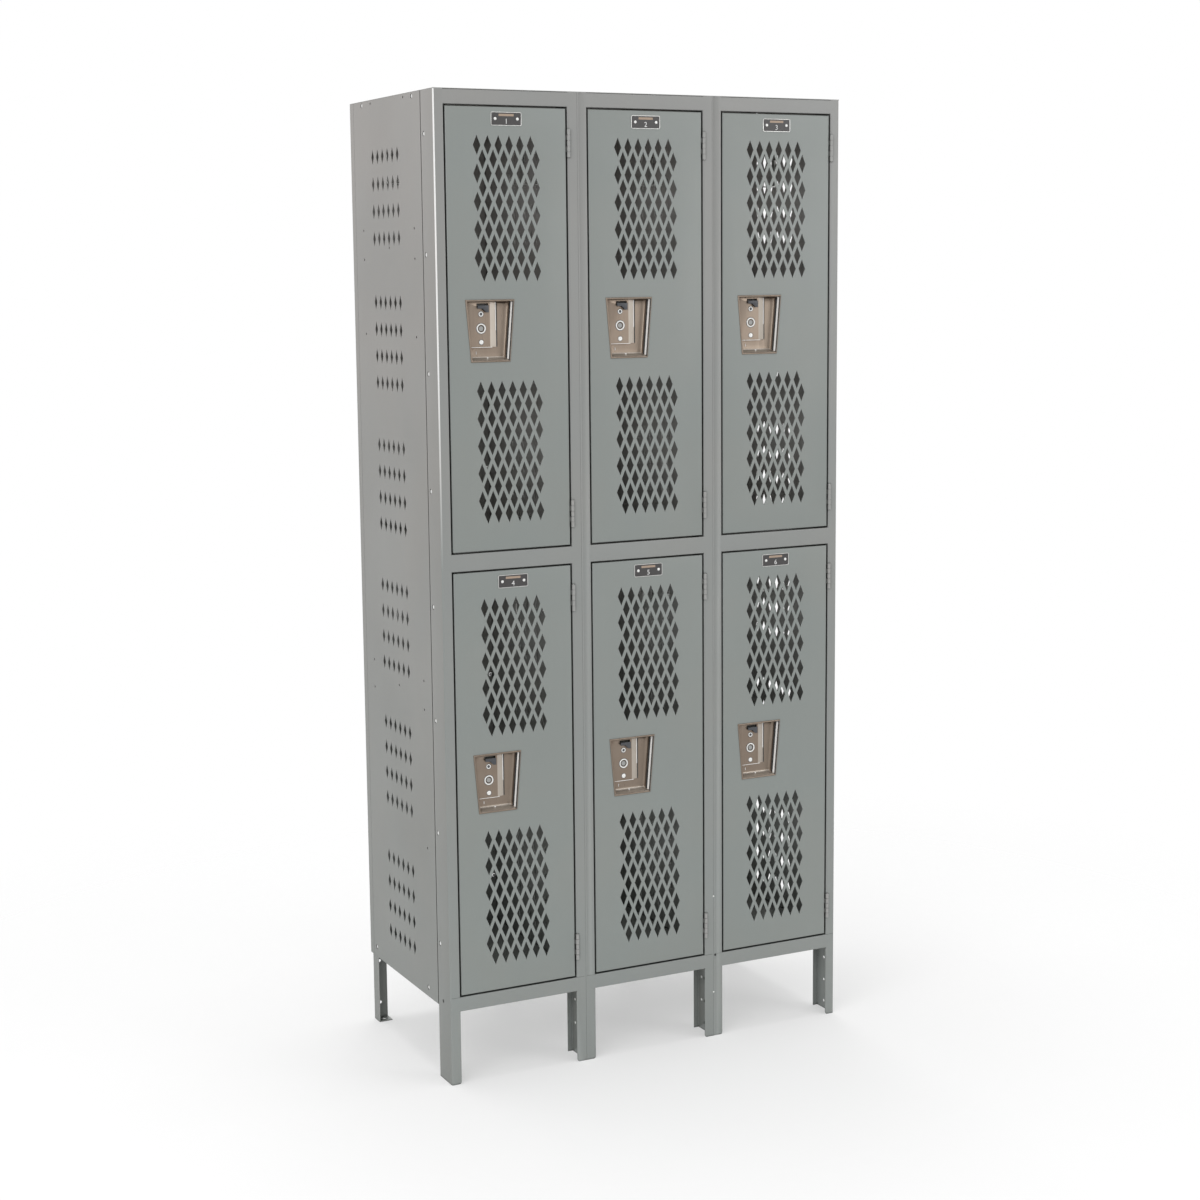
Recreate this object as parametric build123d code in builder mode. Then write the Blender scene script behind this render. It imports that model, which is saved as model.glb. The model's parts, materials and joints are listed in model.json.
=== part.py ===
"""Two-tier locker bank: three welded units side by side, six vented doors, on six-inch legs.

Each family of pieces is modelled once, in the frame of one unit: X runs from the unit's left
edge to the right, Y from the face of the doors to the back, and Z up from the floor. Pieces
of a door are modelled with Z measured from the bottom edge of that door. A loop then places
the copies, with the middle of the whole bank's footprint at X = Y = 0.
"""

import os

from build123d import *

os.makedirs("parts", exist_ok=True)

# Overall sizes and counts
unit_names = ("left", "middle", "right")
unit_width = 304.8
body_height = 1828.8
leg_height = 152.4
overall_depth = 457.2

# Sheet steel thicknesses
frame_sheet = 1.5
door_sheet = 1.9
body_sheet = 1.2
cup_sheet = 0.9
plate_sheet = 0.8

# Clearances and one overrun for all cuts
door_gap = 3.0
fit_clearance = 0.3
slide_clearance = 0.5
notch_clearance = 0.7
cut_overrun = 5.0

# Face frame of one unit, three rails between posts that run down as legs
post_face = 21.4
post_depth = 65.0
post_back_flange = 12.7
strike_width = 14.0
top_rail = 30.0
middle_rail = 35.0
bottom_rail = 30.0

# Flanges of the body sheets
panel_flange = 12.7
pan_flange = 19.0

# Rear legs
angle_width = 30.0
angle_sheet = 2.0
foot_hole_radius = 4.5

# Door pan
door_depth = 20.0
door_lip = 12.0
latch_lip = 30.0

# Vent grilles of a door, two fields of diamonds
grille_width = 141.4
grille_margin = 54.0
grille_cup_gap = 33.45
grille_rows = 6
grille_columns = 4
diamond_width_share = 0.70
diamond_height_share = 1.41

# Vent slots of a side panel, in groups above each other
vent_groups = 6
vent_columns = 2
vent_slot_width = 14.0
vent_slot_height = 190.0
vent_column_pitch = 80.0

# Number plate
plate_width = 65.0
plate_height = 26.0
plate_drop = 9.7

# Recessed pull cup, a trapezium seen from the front
cup_top_width = 104.0
cup_bottom_width = 83.0
cup_height = 124.0
cup_rim = 4.0
cup_shallow = 9.5
cup_deep = 17.5
cup_shallow_width = 56.0
cup_slope_width = 10.0
cup_offset = -40.4

# Lift handle and latch bar
lift_travel = 10.0
handle_sheet = 2.0
tab_width = 24.0
tab_height = 16.0
tab_stand_off = 2.5
tab_drop = 14.0
bar_width = 24.0
bar_sheet = 2.5
bar_length = 720.0
guide_height = 20.0
guide_width = 9.0
guide_spread = 150.0

# Frame hooks with their rubber silencers
hook_height = 22.0
hook_reach = 16.0
hook_sheet = 2.5
hook_gap = 1.0
hook_spread = 300.0
silencer_thickness = 1.7
silencer_height = 12.0

# Hinges
hinge_height = 54.0
hinge_top_margin = 40.0
hinge_bottom_margin = 36.0
barrel_radius = 3.6
pin_radius = 1.6
pin_clearance = 0.06
axis_stand_out = 1.0
barrel_gap = 1.6
leaf_clearance = 0.6
knuckle_clearance = 0.4
knuckle_side_count = 6
knuckle_angle = 90

# Coat hooks
strap_width = 14.0
strap_thickness = 2.5
wall_hook_height = 60.0
wall_hook_reach = 32.0
wall_hook_tip = 22.0
wall_hook_drop = 110.0
ceiling_hook_drop = 50.0
ceiling_hook_reach = 34.0
ceiling_hook_tip = 20.0

# Sizes worked out from those above
unit_count = len(unit_names)
bank_width = unit_width * unit_count
total_height = leg_height + body_height
barrel_proud = axis_stand_out + barrel_radius
unit_depth = overall_depth - barrel_proud
strike_y = door_depth + fit_clearance + silencer_thickness
jamb_depth = strike_y + frame_sheet
frame_top = total_height - body_sheet
shoulder_y = post_depth + body_sheet + fit_clearance
shelf_back = unit_depth - 2 * body_sheet - fit_clearance
inner_edge = 2 * body_sheet

door_left = post_face + door_gap
door_width = unit_width - 2 * door_left
door_right = door_left + door_width
door_height = (body_height - top_rail - middle_rail - bottom_rail - 4 * door_gap) / 2
lower_door_z = leg_height + bottom_rail + door_gap
upper_door_z = lower_door_z + door_height + door_gap + middle_rail + door_gap
middle_rail_z = lower_door_z + door_height + door_gap
tier_door_z = {"lower": lower_door_z, "upper": upper_door_z}

jamb_right = unit_width - post_face
axis_x = door_right + barrel_gap + barrel_radius
leaf_sheet = (door_gap - leaf_clearance) / 2
leaf_start = barrel_radius - axis_stand_out + notch_clearance
leaf_end = door_depth - door_sheet
link_end = leaf_start - fit_clearance
bore_radius = pin_radius + pin_clearance
hinge_starts = (hinge_bottom_margin, door_height - hinge_top_margin - hinge_height)
knuckle_height = (hinge_height - 2 * knuckle_clearance) / 3

bar_back = door_depth - door_sheet - slide_clearance
bar_front = bar_back - bar_sheet
bar_left = door_left + door_sheet + slide_clearance
hook_back = bar_front - hook_gap
hook_front = hook_back - hook_sheet
hook_centres = (door_height / 2 - hook_spread, door_height / 2 + hook_spread)
hook_slot_height = hook_height + 2 * notch_clearance
hook_slot_reach = post_face + hook_reach + notch_clearance

cup_centre_x = unit_width / 2 + cup_offset
cup_left = cup_centre_x - cup_top_width / 2
cup_right = cup_centre_x + cup_top_width / 2
cup_floor_left_end = cup_left + cup_shallow_width
cup_bottom_z = (door_height - cup_height) / 2
grille_height = cup_bottom_z - grille_cup_gap - grille_margin
tab_top = cup_bottom_z + cup_height - tab_drop
tab_left = cup_left + (cup_shallow_width - tab_width) / 2
tab_right = tab_left + tab_width


def at_depth(depth):
    """A front view plane at this depth behind the face, where extrusions by minus go deeper."""
    return Plane.XZ.offset(-depth)


def block(x_range, y_range, z_range, mode=Mode.ADD):
    """A box between two corners, given as ranges along X, Y and Z, in the part being built."""
    lows = (x_range[0], y_range[0], z_range[0])
    sizes = (x_range[1] - x_range[0], y_range[1] - y_range[0], z_range[1] - z_range[0])
    with Locations(lows):
        return Box(*sizes, align=(Align.MIN, Align.MIN, Align.MIN), mode=mode)


def rectangle(x_range, y_range, mode=Mode.ADD):
    """A rectangle between two corners, in the sketch being drawn."""
    with Locations((x_range[0], y_range[0])):
        return Rectangle(x_range[1] - x_range[0], y_range[1] - y_range[0],
                         align=(Align.MIN, Align.MIN), mode=mode)


def diamond(width, height):
    """A diamond as tall as its height and as wide as its width, in the sketch being drawn."""
    return Polygon((0, height / 2), (width / 2, 0), (0, -height / 2), (-width / 2, 0))


# Face frame: the posts' faces, jambs with their strikes, and rails, welded into one piece
with BuildPart() as face_frame:
    block((0, post_face), (0, frame_sheet), (0, frame_top))
    with BuildSketch(Plane.XY.offset(leg_height)) as jamb_section:
        rectangle((post_face - frame_sheet, post_face), (0, jamb_depth))
        rectangle((post_face - frame_sheet, post_face + strike_width), (strike_y, jamb_depth))
    extrude(amount=frame_top - leg_height)
    mirror(about=Plane.YZ.offset(unit_width / 2))
    with BuildSketch(Plane.YZ.offset(post_face - frame_sheet)) as rail_sections:
        for rail_low, rail_high in ((leg_height, leg_height + bottom_rail),
                                    (middle_rail_z, middle_rail_z + middle_rail),
                                    (total_height - top_rail, frame_top)):
            rectangle((0, jamb_depth), (rail_low, rail_high))
            rectangle((frame_sheet, jamb_depth),
                      (rail_low + frame_sheet, rail_high - frame_sheet), Mode.SUBTRACT)
    extrude(amount=unit_width - 2 * (post_face - frame_sheet))
    block((0, unit_width), (0, frame_sheet), (frame_top, total_height))
    for door_z in tier_door_z.values():
        for hinge_start in hinge_starts:
            hinge_low = door_z + hinge_start
            block((jamb_right - cut_overrun, axis_x + barrel_radius + notch_clearance),
                  (-cut_overrun, leaf_start),
                  (hinge_low - notch_clearance, hinge_low + hinge_height + notch_clearance),
                  Mode.SUBTRACT)

# Side post: the web and rear flange of a post, welded behind the edge of the face frame
with BuildPart() as side_post:
    with BuildSketch(Plane.XY) as post_section:
        rectangle((fit_clearance / 2, frame_sheet), (frame_sheet, post_depth))
        rectangle((fit_clearance / 2, post_back_flange), (post_depth - frame_sheet, post_depth))
    extrude(amount=frame_top)

# Side panel: one sheet behind the posts, with a flange at each end and rows of long vent slots
with BuildPart() as side_panel:
    block((0, body_sheet), (post_depth, unit_depth - body_sheet), (leg_height, frame_top))
    for flange_y in (post_depth, unit_depth - 2 * body_sheet):
        block((0, panel_flange), (flange_y, flange_y + body_sheet), (leg_height, frame_top))
    vent_pitch = (frame_top - leg_height) / vent_groups
    with BuildSketch(Plane.YZ) as vents:
        with Locations(((post_depth + unit_depth) / 2, (frame_top + leg_height) / 2)):
            with GridLocations(vent_column_pitch, vent_pitch, vent_columns, vent_groups):
                diamond(vent_slot_width, vent_slot_height)
    extrude(amount=body_sheet, mode=Mode.SUBTRACT)


# Flanged pans: the outline of a shelf steps round the posts, and its edges turn down
def flanged_pan(top_z):
    """A sheet at this height with its edges turned down, between the rail and the back."""
    with BuildPart() as pan:
        tongue = (post_face + fit_clearance, unit_width - post_face - fit_clearance)
        with BuildSketch(Plane.XY.offset(top_z - pan_flange)) as outline:
            rectangle(tongue, (jamb_depth, shoulder_y))
            rectangle((inner_edge, unit_width - inner_edge), (shoulder_y, shelf_back))
        extrude(amount=pan_flange)
        with BuildSketch(Plane.XY.offset(top_z - pan_flange)) as hollow:
            offset(outline.sketch, amount=-body_sheet, kind=Kind.INTERSECTION)
        extrude(amount=pan_flange - body_sheet, mode=Mode.SUBTRACT)
    return pan.part


tier_shelf = flanged_pan(middle_rail_z + middle_rail)
bottom_pan = flanged_pan(leg_height + bottom_rail)

# Top panel: caps the frame behind its front lip, with flanges inside the body sheets
with BuildPart() as top_panel:
    block((fit_clearance / 2, unit_width - fit_clearance / 2), (frame_sheet, unit_depth),
          (frame_top, total_height))
    for flange_y in (shoulder_y, shelf_back - body_sheet):
        block((inner_edge, unit_width - inner_edge), (flange_y, flange_y + body_sheet),
              (frame_top - pan_flange, frame_top))

# Back panel: a flat sheet over the rear flanges of the side panels
with BuildPart() as back_panel:
    block((fit_clearance / 2, unit_width - fit_clearance / 2),
          (unit_depth - body_sheet, unit_depth), (leg_height, frame_top))

# Rear leg: an angle under the bottom pan, with a foot that is drilled for a floor anchor
leg_corner_x = inner_edge + body_sheet
leg_corner_y = shelf_back - body_sheet
leg_top = leg_height + bottom_rail - body_sheet
foot_centre_x = leg_corner_x + (angle_width + angle_sheet) / 2
foot_centre_y = leg_corner_y - (angle_width + angle_sheet) / 2
with BuildPart() as rear_leg:
    with BuildSketch(Plane.XY) as angle_section:
        rectangle((leg_corner_x, leg_corner_x + angle_width),
                  (leg_corner_y - angle_width, leg_corner_y))
        rectangle((leg_corner_x + angle_sheet, leg_corner_x + angle_width),
                  (leg_corner_y - angle_width, leg_corner_y - angle_sheet), Mode.SUBTRACT)
    extrude(amount=leg_top)
    block((leg_corner_x, leg_corner_x + angle_width),
          (leg_corner_y - angle_width, leg_corner_y), (0, angle_sheet))
    with Locations((foot_centre_x, foot_centre_y, angle_sheet)):
        Hole(radius=foot_hole_radius, depth=angle_sheet)

# Door pan: a flanged sheet with diamond grilles, a cut-out for the cup and slots for the hooks
column_pitch = grille_width / (grille_columns - 0.5 + diamond_width_share)
row_pitch = grille_height / (grille_rows - 1 + diamond_height_share)
diamond_width = column_pitch * diamond_width_share
diamond_height = row_pitch * diamond_height_share


def cup_outline(grow):
    """The cup's trapezium in the front view, grown by this much on every side."""
    with BuildSketch(Plane.XY) as trapezium:
        with BuildLine():
            Polyline((cup_centre_x - cup_bottom_width / 2, cup_bottom_z),
                     (cup_centre_x + cup_bottom_width / 2, cup_bottom_z),
                     (cup_right, cup_bottom_z + cup_height),
                     (cup_left, cup_bottom_z + cup_height), close=True)
        make_face()
        if grow:
            offset(amount=grow, kind=Kind.INTERSECTION, mode=Mode.REPLACE)
    return trapezium.sketch


with BuildPart() as door_pan:
    block((door_left, door_right), (0, door_depth), (0, door_height))
    block((door_left + door_sheet, door_right - door_sheet), (door_sheet, door_depth - door_sheet),
          (door_sheet, door_height - door_sheet), Mode.SUBTRACT)
    block((door_left + latch_lip, door_right - door_lip), (door_sheet, door_depth + cut_overrun),
          (door_lip, door_height - door_lip), Mode.SUBTRACT)
    for hook_z in hook_centres:
        block((door_left - cut_overrun, hook_slot_reach),
              (hook_front - notch_clearance, door_depth + cut_overrun),
              (hook_z - hook_slot_height / 2, hook_z + hook_slot_height / 2), Mode.SUBTRACT)
    for guide_z in (door_height / 2 - guide_spread, door_height / 2 + guide_spread):
        block((door_left, bar_left + guide_width),
              (bar_front - slide_clearance - door_sheet, bar_front - slide_clearance),
              (guide_z, guide_z + guide_height))
    with BuildSketch(at_depth(0)) as door_openings:
        add(cup_outline(fit_clearance))
        for field_low in (grille_margin, door_height - grille_margin - grille_height):
            for row in range(grille_rows):
                row_z = field_low + diamond_height / 2 + row * row_pitch
                rows_above = grille_rows - 1 - row
                shift = (0.5 if rows_above % 2 else 0) * column_pitch
                first_x = (unit_width - grille_width + diamond_width) / 2 + shift
                for column in range(grille_columns):
                    with Locations((first_x + column * column_pitch, row_z)):
                        diamond(diamond_width, diamond_height)
    extrude(amount=-door_sheet, mode=Mode.SUBTRACT)


# Pull cup: a pressed pan, shallow at the lock plate and deep at the finger pocket
def cup_body(inset, front_y):
    """The cup's volume from this front, with its walls and floors moved inwards by the inset."""
    with BuildPart() as body:
        with BuildSketch(Plane.XY.offset(cup_bottom_z)) as floor_section:
            with BuildLine():
                Polyline((cup_left, front_y), (cup_right, front_y), (cup_right, cup_deep - inset),
                         (cup_floor_left_end + cup_slope_width, cup_deep - inset),
                         (cup_floor_left_end, cup_shallow - inset),
                         (cup_left, cup_shallow - inset), close=True)
            make_face()
        extrude(amount=cup_height)
        with BuildSketch(at_depth(front_y)) as sides:
            add(cup_outline(-inset))
        extrude(amount=-(cup_deep - front_y), mode=Mode.INTERSECT)
    return body.part


slot_left = tab_left - notch_clearance
slot_right = tab_right + notch_clearance
slot_low = tab_top - handle_sheet - notch_clearance
slot_high = tab_top + lift_travel + notch_clearance
with BuildPart() as pull_cup:
    add(cup_body(0, 0))
    with BuildSketch(at_depth(0)) as rim:
        add(cup_outline(cup_rim))
    extrude(amount=cup_sheet)
    add(cup_body(cup_sheet, -cup_sheet), mode=Mode.SUBTRACT)
    block((slot_left, slot_right), (0, cup_deep), (slot_low, slot_high), Mode.SUBTRACT)

# Number plate on the door's face
with BuildPart() as number_plate:
    with BuildSketch(at_depth(0)) as plate_outline:
        with Locations((unit_width / 2, door_height - plate_drop - plate_height / 2)):
            Rectangle(plate_width, plate_height)
    extrude(amount=plate_sheet)

# Lift handle: a plate on the latch bar that reaches behind the cup, with a tab through its slot
handle_front = bar_front - handle_sheet
tab_front = tab_stand_off
with BuildPart() as lift_handle:
    block((bar_left, tab_right), (handle_front, bar_front), (tab_top - tab_height, tab_top))
    block((tab_left, tab_right), (tab_front, bar_front), (tab_top - handle_sheet, tab_top))
    block((tab_left, tab_right), (tab_front, tab_front + handle_sheet),
          (tab_top - tab_height, tab_top))

# Latch bar: a flat strip with a notch below each hook, which the lift brings level with it
with BuildPart() as latch_bar:
    block((bar_left, bar_left + bar_width), (bar_front, bar_back),
          ((door_height - bar_length) / 2, (door_height + bar_length) / 2))
    for hook_z in hook_centres:
        notch_z = hook_z - lift_travel
        block((bar_left - cut_overrun, hook_slot_reach), (bar_front, bar_back),
              (notch_z - hook_slot_height / 2, notch_z + hook_slot_height / 2), Mode.SUBTRACT)

# Frame hooks: an angle welded to the jamb, in front of the latch bar
with BuildPart() as door_hooks:
    for hook_z in hook_centres:
        with BuildSketch(Plane.XY.offset(hook_z - hook_height / 2)) as hook_section:
            rectangle((post_face, post_face + hook_reach), (hook_front, hook_back))
            rectangle((post_face, post_face + door_gap / 2), (frame_sheet, hook_back))
        extrude(amount=hook_height)

# Rubber silencers on the strike, behind the door's lip
silencer_low = hook_height / 2 + notch_clearance + fit_clearance
with BuildPart() as door_silencers:
    for hook_z in hook_centres:
        block((door_left, post_face + strike_width), (door_depth + fit_clearance, strike_y),
              (hook_z + silencer_low, hook_z + silencer_low + silencer_height))


# Hinges: three knuckles on one pin, the middle one on the door's leaf
def hinge_leaf(plate_x, knuckle_lows, hinge_low):
    """A plate at this place in the gap, with links to its knuckles at these heights."""
    with BuildPart() as leaf:
        block(plate_x, (leaf_start, leaf_end), (hinge_low, hinge_low + hinge_height))
        for knuckle_low in knuckle_lows:
            top = knuckle_low + knuckle_height
            block(plate_x, (link_end - leaf_sheet, leaf_start), (knuckle_low, top))
            block((plate_x[0], axis_x), (link_end - leaf_sheet, link_end), (knuckle_low, top))
            with BuildSketch(Plane.XY.offset(knuckle_low)) as knuckle_ring:
                with Locations((axis_x, -axis_stand_out)):
                    RegularPolygon(barrel_radius, knuckle_side_count, rotation=knuckle_angle)
            extrude(amount=knuckle_height)
            with BuildSketch(Plane.XY.offset(knuckle_low)) as knuckle_bore:
                with Locations((axis_x, -axis_stand_out)):
                    RegularPolygon(bore_radius, knuckle_side_count, major_radius=False,
                                   rotation=knuckle_angle)
            extrude(amount=knuckle_height, mode=Mode.SUBTRACT)
    return leaf.part


knuckle_step = knuckle_height + knuckle_clearance
with BuildPart() as door_leaves:
    for hinge_start in hinge_starts:
        add(hinge_leaf((door_right, door_right + leaf_sheet), (hinge_start + knuckle_step,),
                       hinge_start))

with BuildPart() as frame_leaves:
    for hinge_start in hinge_starts:
        add(hinge_leaf((jamb_right - leaf_sheet, jamb_right),
                       (hinge_start, hinge_start + 2 * knuckle_step), hinge_start))

with BuildPart() as door_pins:
    for hinge_start in hinge_starts:
        with BuildSketch(Plane.XY.offset(hinge_start)) as pin_section:
            with Locations((axis_x, -axis_stand_out)):
                RegularPolygon(pin_radius, knuckle_side_count, rotation=knuckle_angle)
        extrude(amount=hinge_height)

# Coat hooks of one compartment, with Z measured from its ceiling
with BuildPart() as wall_hook:
    with BuildSketch(Plane.XZ) as strap:
        with BuildLine():
            Polyline((0, 0), (strap_thickness, 0), (strap_thickness, strap_thickness - wall_hook_height),
                     (wall_hook_reach - strap_thickness, strap_thickness - wall_hook_height),
                     (wall_hook_reach - strap_thickness, wall_hook_tip - wall_hook_height),
                     (wall_hook_reach, wall_hook_tip - wall_hook_height),
                     (wall_hook_reach, -wall_hook_height), (0, -wall_hook_height), close=True)
        make_face()
    extrude(amount=strap_width / 2, both=True)

with BuildPart() as ceiling_hook:
    with BuildSketch(Plane.XZ) as double_prong:
        rectangle((-strap_thickness, strap_thickness), (-ceiling_hook_drop, 0))
        rectangle((-ceiling_hook_reach, ceiling_hook_reach),
                  (-ceiling_hook_drop, strap_thickness - ceiling_hook_drop))
        for tip_x in (-ceiling_hook_reach, ceiling_hook_reach - strap_thickness):
            rectangle((tip_x, tip_x + strap_thickness),
                      (-ceiling_hook_drop, ceiling_hook_tip - ceiling_hook_drop))
    extrude(amount=strap_width / 2, both=True)


def placed(piece, x, z):
    """A copy of the piece in the frame of the whole bank, with its front at the face plane."""
    return piece.moved(Location((x - bank_width / 2, barrel_proud - overall_depth / 2, z)))


def save(name, solids):
    """Writes one sub-part, made of one solid or of several like ones."""
    with BuildPart() as node:
        for solid in solids:
            add(solid)
    node.part.label = name
    export_step(node.part, f"parts/{name}.step")


unit_lefts = [index * unit_width for index in range(unit_count)]
units = list(zip(unit_names, unit_lefts))

# Pieces that each unit and each door has under its own name
for unit, left in units:
    save(f"{unit}_face_frame", [placed(face_frame.part, left, 0)])
    save(f"{unit}_tier_shelf", [placed(tier_shelf, left, 0)])
    save(f"{unit}_bottom_pan", [placed(bottom_pan, left, 0)])
    for tier, door_z in tier_door_z.items():
        door = f"{unit}_{tier}"
        save(f"{door}_door", [placed(door_pan.part, left, door_z)])
        save(f"{door}_pull_cup", [placed(pull_cup.part, left, door_z)])
        save(f"{door}_number_plate", [placed(number_plate.part, left, door_z)])
        save(f"{door}_hinge_leaves", placed(door_leaves.part, left, door_z).solids())
        save(f"{door}_lift_handle", [placed(lift_handle.part, left, door_z)])
        save(f"{door}_latch_bar", [placed(latch_bar.part, left, door_z)])

# Side panels: a partition is centred on the joint of two units, an end panel lies inside
flipped_panel = side_panel.part.mirror(Plane.YZ)
save("left_end_panel", [placed(side_panel.part, 0, 0)])
save("right_end_panel", [placed(flipped_panel, bank_width, 0)])
for unit, left in units[:-1]:
    save(f"{unit}_partition", [placed(side_panel.part, left + unit_width - body_sheet / 2, 0)])

# Like pieces that share one node
save("top_panels", [placed(top_panel.part, left, 0) for unit, left in units])
save("back_panels", [placed(back_panel.part, left, 0) for unit, left in units])
flipped_post = side_post.part.mirror(Plane.YZ)
save("side_posts", [placed(side_post.part, left, 0) for unit, left in units]
     + [placed(flipped_post, left + unit_width, 0) for unit, left in units])
mirrored_leg = rear_leg.part.mirror(Plane.YZ)
save("rear_legs", [placed(rear_leg.part, left, 0) for unit, left in units]
     + [placed(mirrored_leg, bank_width, 0)])


def for_each_door(piece):
    """The solids of a piece, copied to every door of the bank."""
    return [solid for unit, left in units for door_z in tier_door_z.values()
            for solid in placed(piece, left, door_z).solids()]


save("frame_hinge_leaves", for_each_door(frame_leaves.part))
save("hinge_pins", for_each_door(door_pins.part))
save("latch_hooks", for_each_door(door_hooks.part))
save("rubber_silencers", for_each_door(door_silencers.part))

hook_y = (post_depth + unit_depth) / 2
wall_hooks = []
ceiling_hooks = []
for unit, left in units:
    for compartment_top in (middle_rail_z + middle_rail - body_sheet, frame_top):
        hang_z = compartment_top - wall_hook_drop
        inner_left = body_sheet if unit == unit_names[0] else body_sheet / 2
        inner_right = unit_width - (body_sheet if unit == unit_names[-1] else body_sheet / 2)
        facing_right = Location((inner_left, hook_y, 0))
        facing_left = Location((inner_right, hook_y, 0), (0, 0, 180))
        facing_front = Location((unit_width / 2, unit_depth - body_sheet, 0), (0, 0, -90))
        for wall in (facing_right, facing_left, facing_front):
            wall_hooks.append(placed(wall_hook.part.moved(wall), left, hang_z))
        middle = Location((unit_width / 2, hook_y, 0))
        ceiling_hooks.append(placed(ceiling_hook.part.moved(middle), left, compartment_top))
save("wall_hooks", wall_hooks)
save("ceiling_hooks", ceiling_hooks)
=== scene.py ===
"""Looks of a two-tier locker bank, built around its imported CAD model.

The file is laid out as an add-on: each operator makes one piece, or one group of like pieces,
from the sizes in its property group, and the panel lists them. Run as a script, it makes
everything. Lengths are in metres. Pieces of a door are modelled in the door's own frame: X from
its left edge, Y from its face towards the inside, and Z up from its bottom edge.
"""

import json
import math

import bmesh
import bpy
from mathutils import Matrix, Vector


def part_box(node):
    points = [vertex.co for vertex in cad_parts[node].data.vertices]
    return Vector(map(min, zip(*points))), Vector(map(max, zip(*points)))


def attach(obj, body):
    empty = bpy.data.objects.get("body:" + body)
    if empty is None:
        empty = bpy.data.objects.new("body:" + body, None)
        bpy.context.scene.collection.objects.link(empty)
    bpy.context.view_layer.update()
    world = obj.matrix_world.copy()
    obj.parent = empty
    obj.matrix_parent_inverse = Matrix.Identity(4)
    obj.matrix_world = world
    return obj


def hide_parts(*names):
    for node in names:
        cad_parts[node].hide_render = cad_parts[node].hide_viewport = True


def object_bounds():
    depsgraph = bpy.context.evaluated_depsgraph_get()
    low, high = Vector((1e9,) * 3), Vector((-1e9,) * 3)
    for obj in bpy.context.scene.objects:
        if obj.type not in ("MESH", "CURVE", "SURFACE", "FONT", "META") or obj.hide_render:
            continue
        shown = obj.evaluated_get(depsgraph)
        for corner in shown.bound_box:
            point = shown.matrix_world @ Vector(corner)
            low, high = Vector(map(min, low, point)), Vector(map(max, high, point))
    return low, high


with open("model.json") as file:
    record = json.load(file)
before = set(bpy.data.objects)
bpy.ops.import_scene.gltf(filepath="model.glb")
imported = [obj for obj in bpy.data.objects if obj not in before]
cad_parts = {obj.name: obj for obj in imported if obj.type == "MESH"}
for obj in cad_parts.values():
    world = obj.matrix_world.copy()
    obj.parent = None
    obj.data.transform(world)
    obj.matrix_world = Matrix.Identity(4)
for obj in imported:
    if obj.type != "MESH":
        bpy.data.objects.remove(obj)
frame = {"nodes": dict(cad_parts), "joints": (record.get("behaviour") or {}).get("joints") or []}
cad_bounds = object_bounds()

bl_info = {
    "name": "Locker bank",
    "version": (1, 0, 0),
    "blender": (4, 5, 0),
    "location": "3D View > Sidebar > Lockers",
    "description": "Makes the pieces and finishes of a two-tier locker bank",
    "category": "Object",
}

MM = 0.001
UNITS = ("left", "middle", "right")
TIERS = ("lower", "upper")
DOORS = [f"{unit}_{tier}" for unit in UNITS for tier in TIERS]

# Places of the frame, read from the CAD nodes
bank_low, bank_high = (Vector(corner) for corner in cad_bounds)
frame_low, frame_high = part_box("left_face_frame")
post_low, post_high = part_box("side_posts")
panel_low, panel_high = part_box("left_end_panel")
shelf_low, shelf_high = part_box("left_tier_shelf")
back_low, back_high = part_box("back_panels")
plate_low, plate_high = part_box("left_upper_number_plate")
cup_low, cup_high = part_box("left_upper_pull_cup")
door_low, door_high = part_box("left_upper_door")
bar_low, bar_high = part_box("left_upper_latch_bar")

unit_width = frame_high.x - frame_low.x
face_y = frame_low.y
door_width = door_high.x - door_low.x
door_height = door_high.z - door_low.z
door_depth = door_high.y - door_low.y
post_face = 21.4 * MM
door_gap = door_low.x - frame_low.x - post_face
body_low = panel_low.z
body_high = panel_high.z


def length(name, description, millimetres):
    """A property that holds a length, with its default given in millimetres."""
    return bpy.props.FloatProperty(name=name, description=description, default=millimetres * MM,
                                   unit="LENGTH", subtype="DISTANCE", precision=5)


def count(name, description, number):
    """A property that holds a number of like things."""
    return bpy.props.IntProperty(name=name, description=description, default=number, min=0)


def share(name, description, number):
    """A property that holds a plain factor."""
    return bpy.props.FloatProperty(name=name, description=description, default=number,
                                   subtype="FACTOR", min=0.0, max=1.0)


def colour(name, description, red, green, blue):
    """A property that holds a colour, in linear values."""
    return bpy.props.FloatVectorProperty(name=name, description=description, subtype="COLOR",
                                         size=4, min=0.0, max=1.0,
                                         default=(red, green, blue, 1.0))


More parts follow.
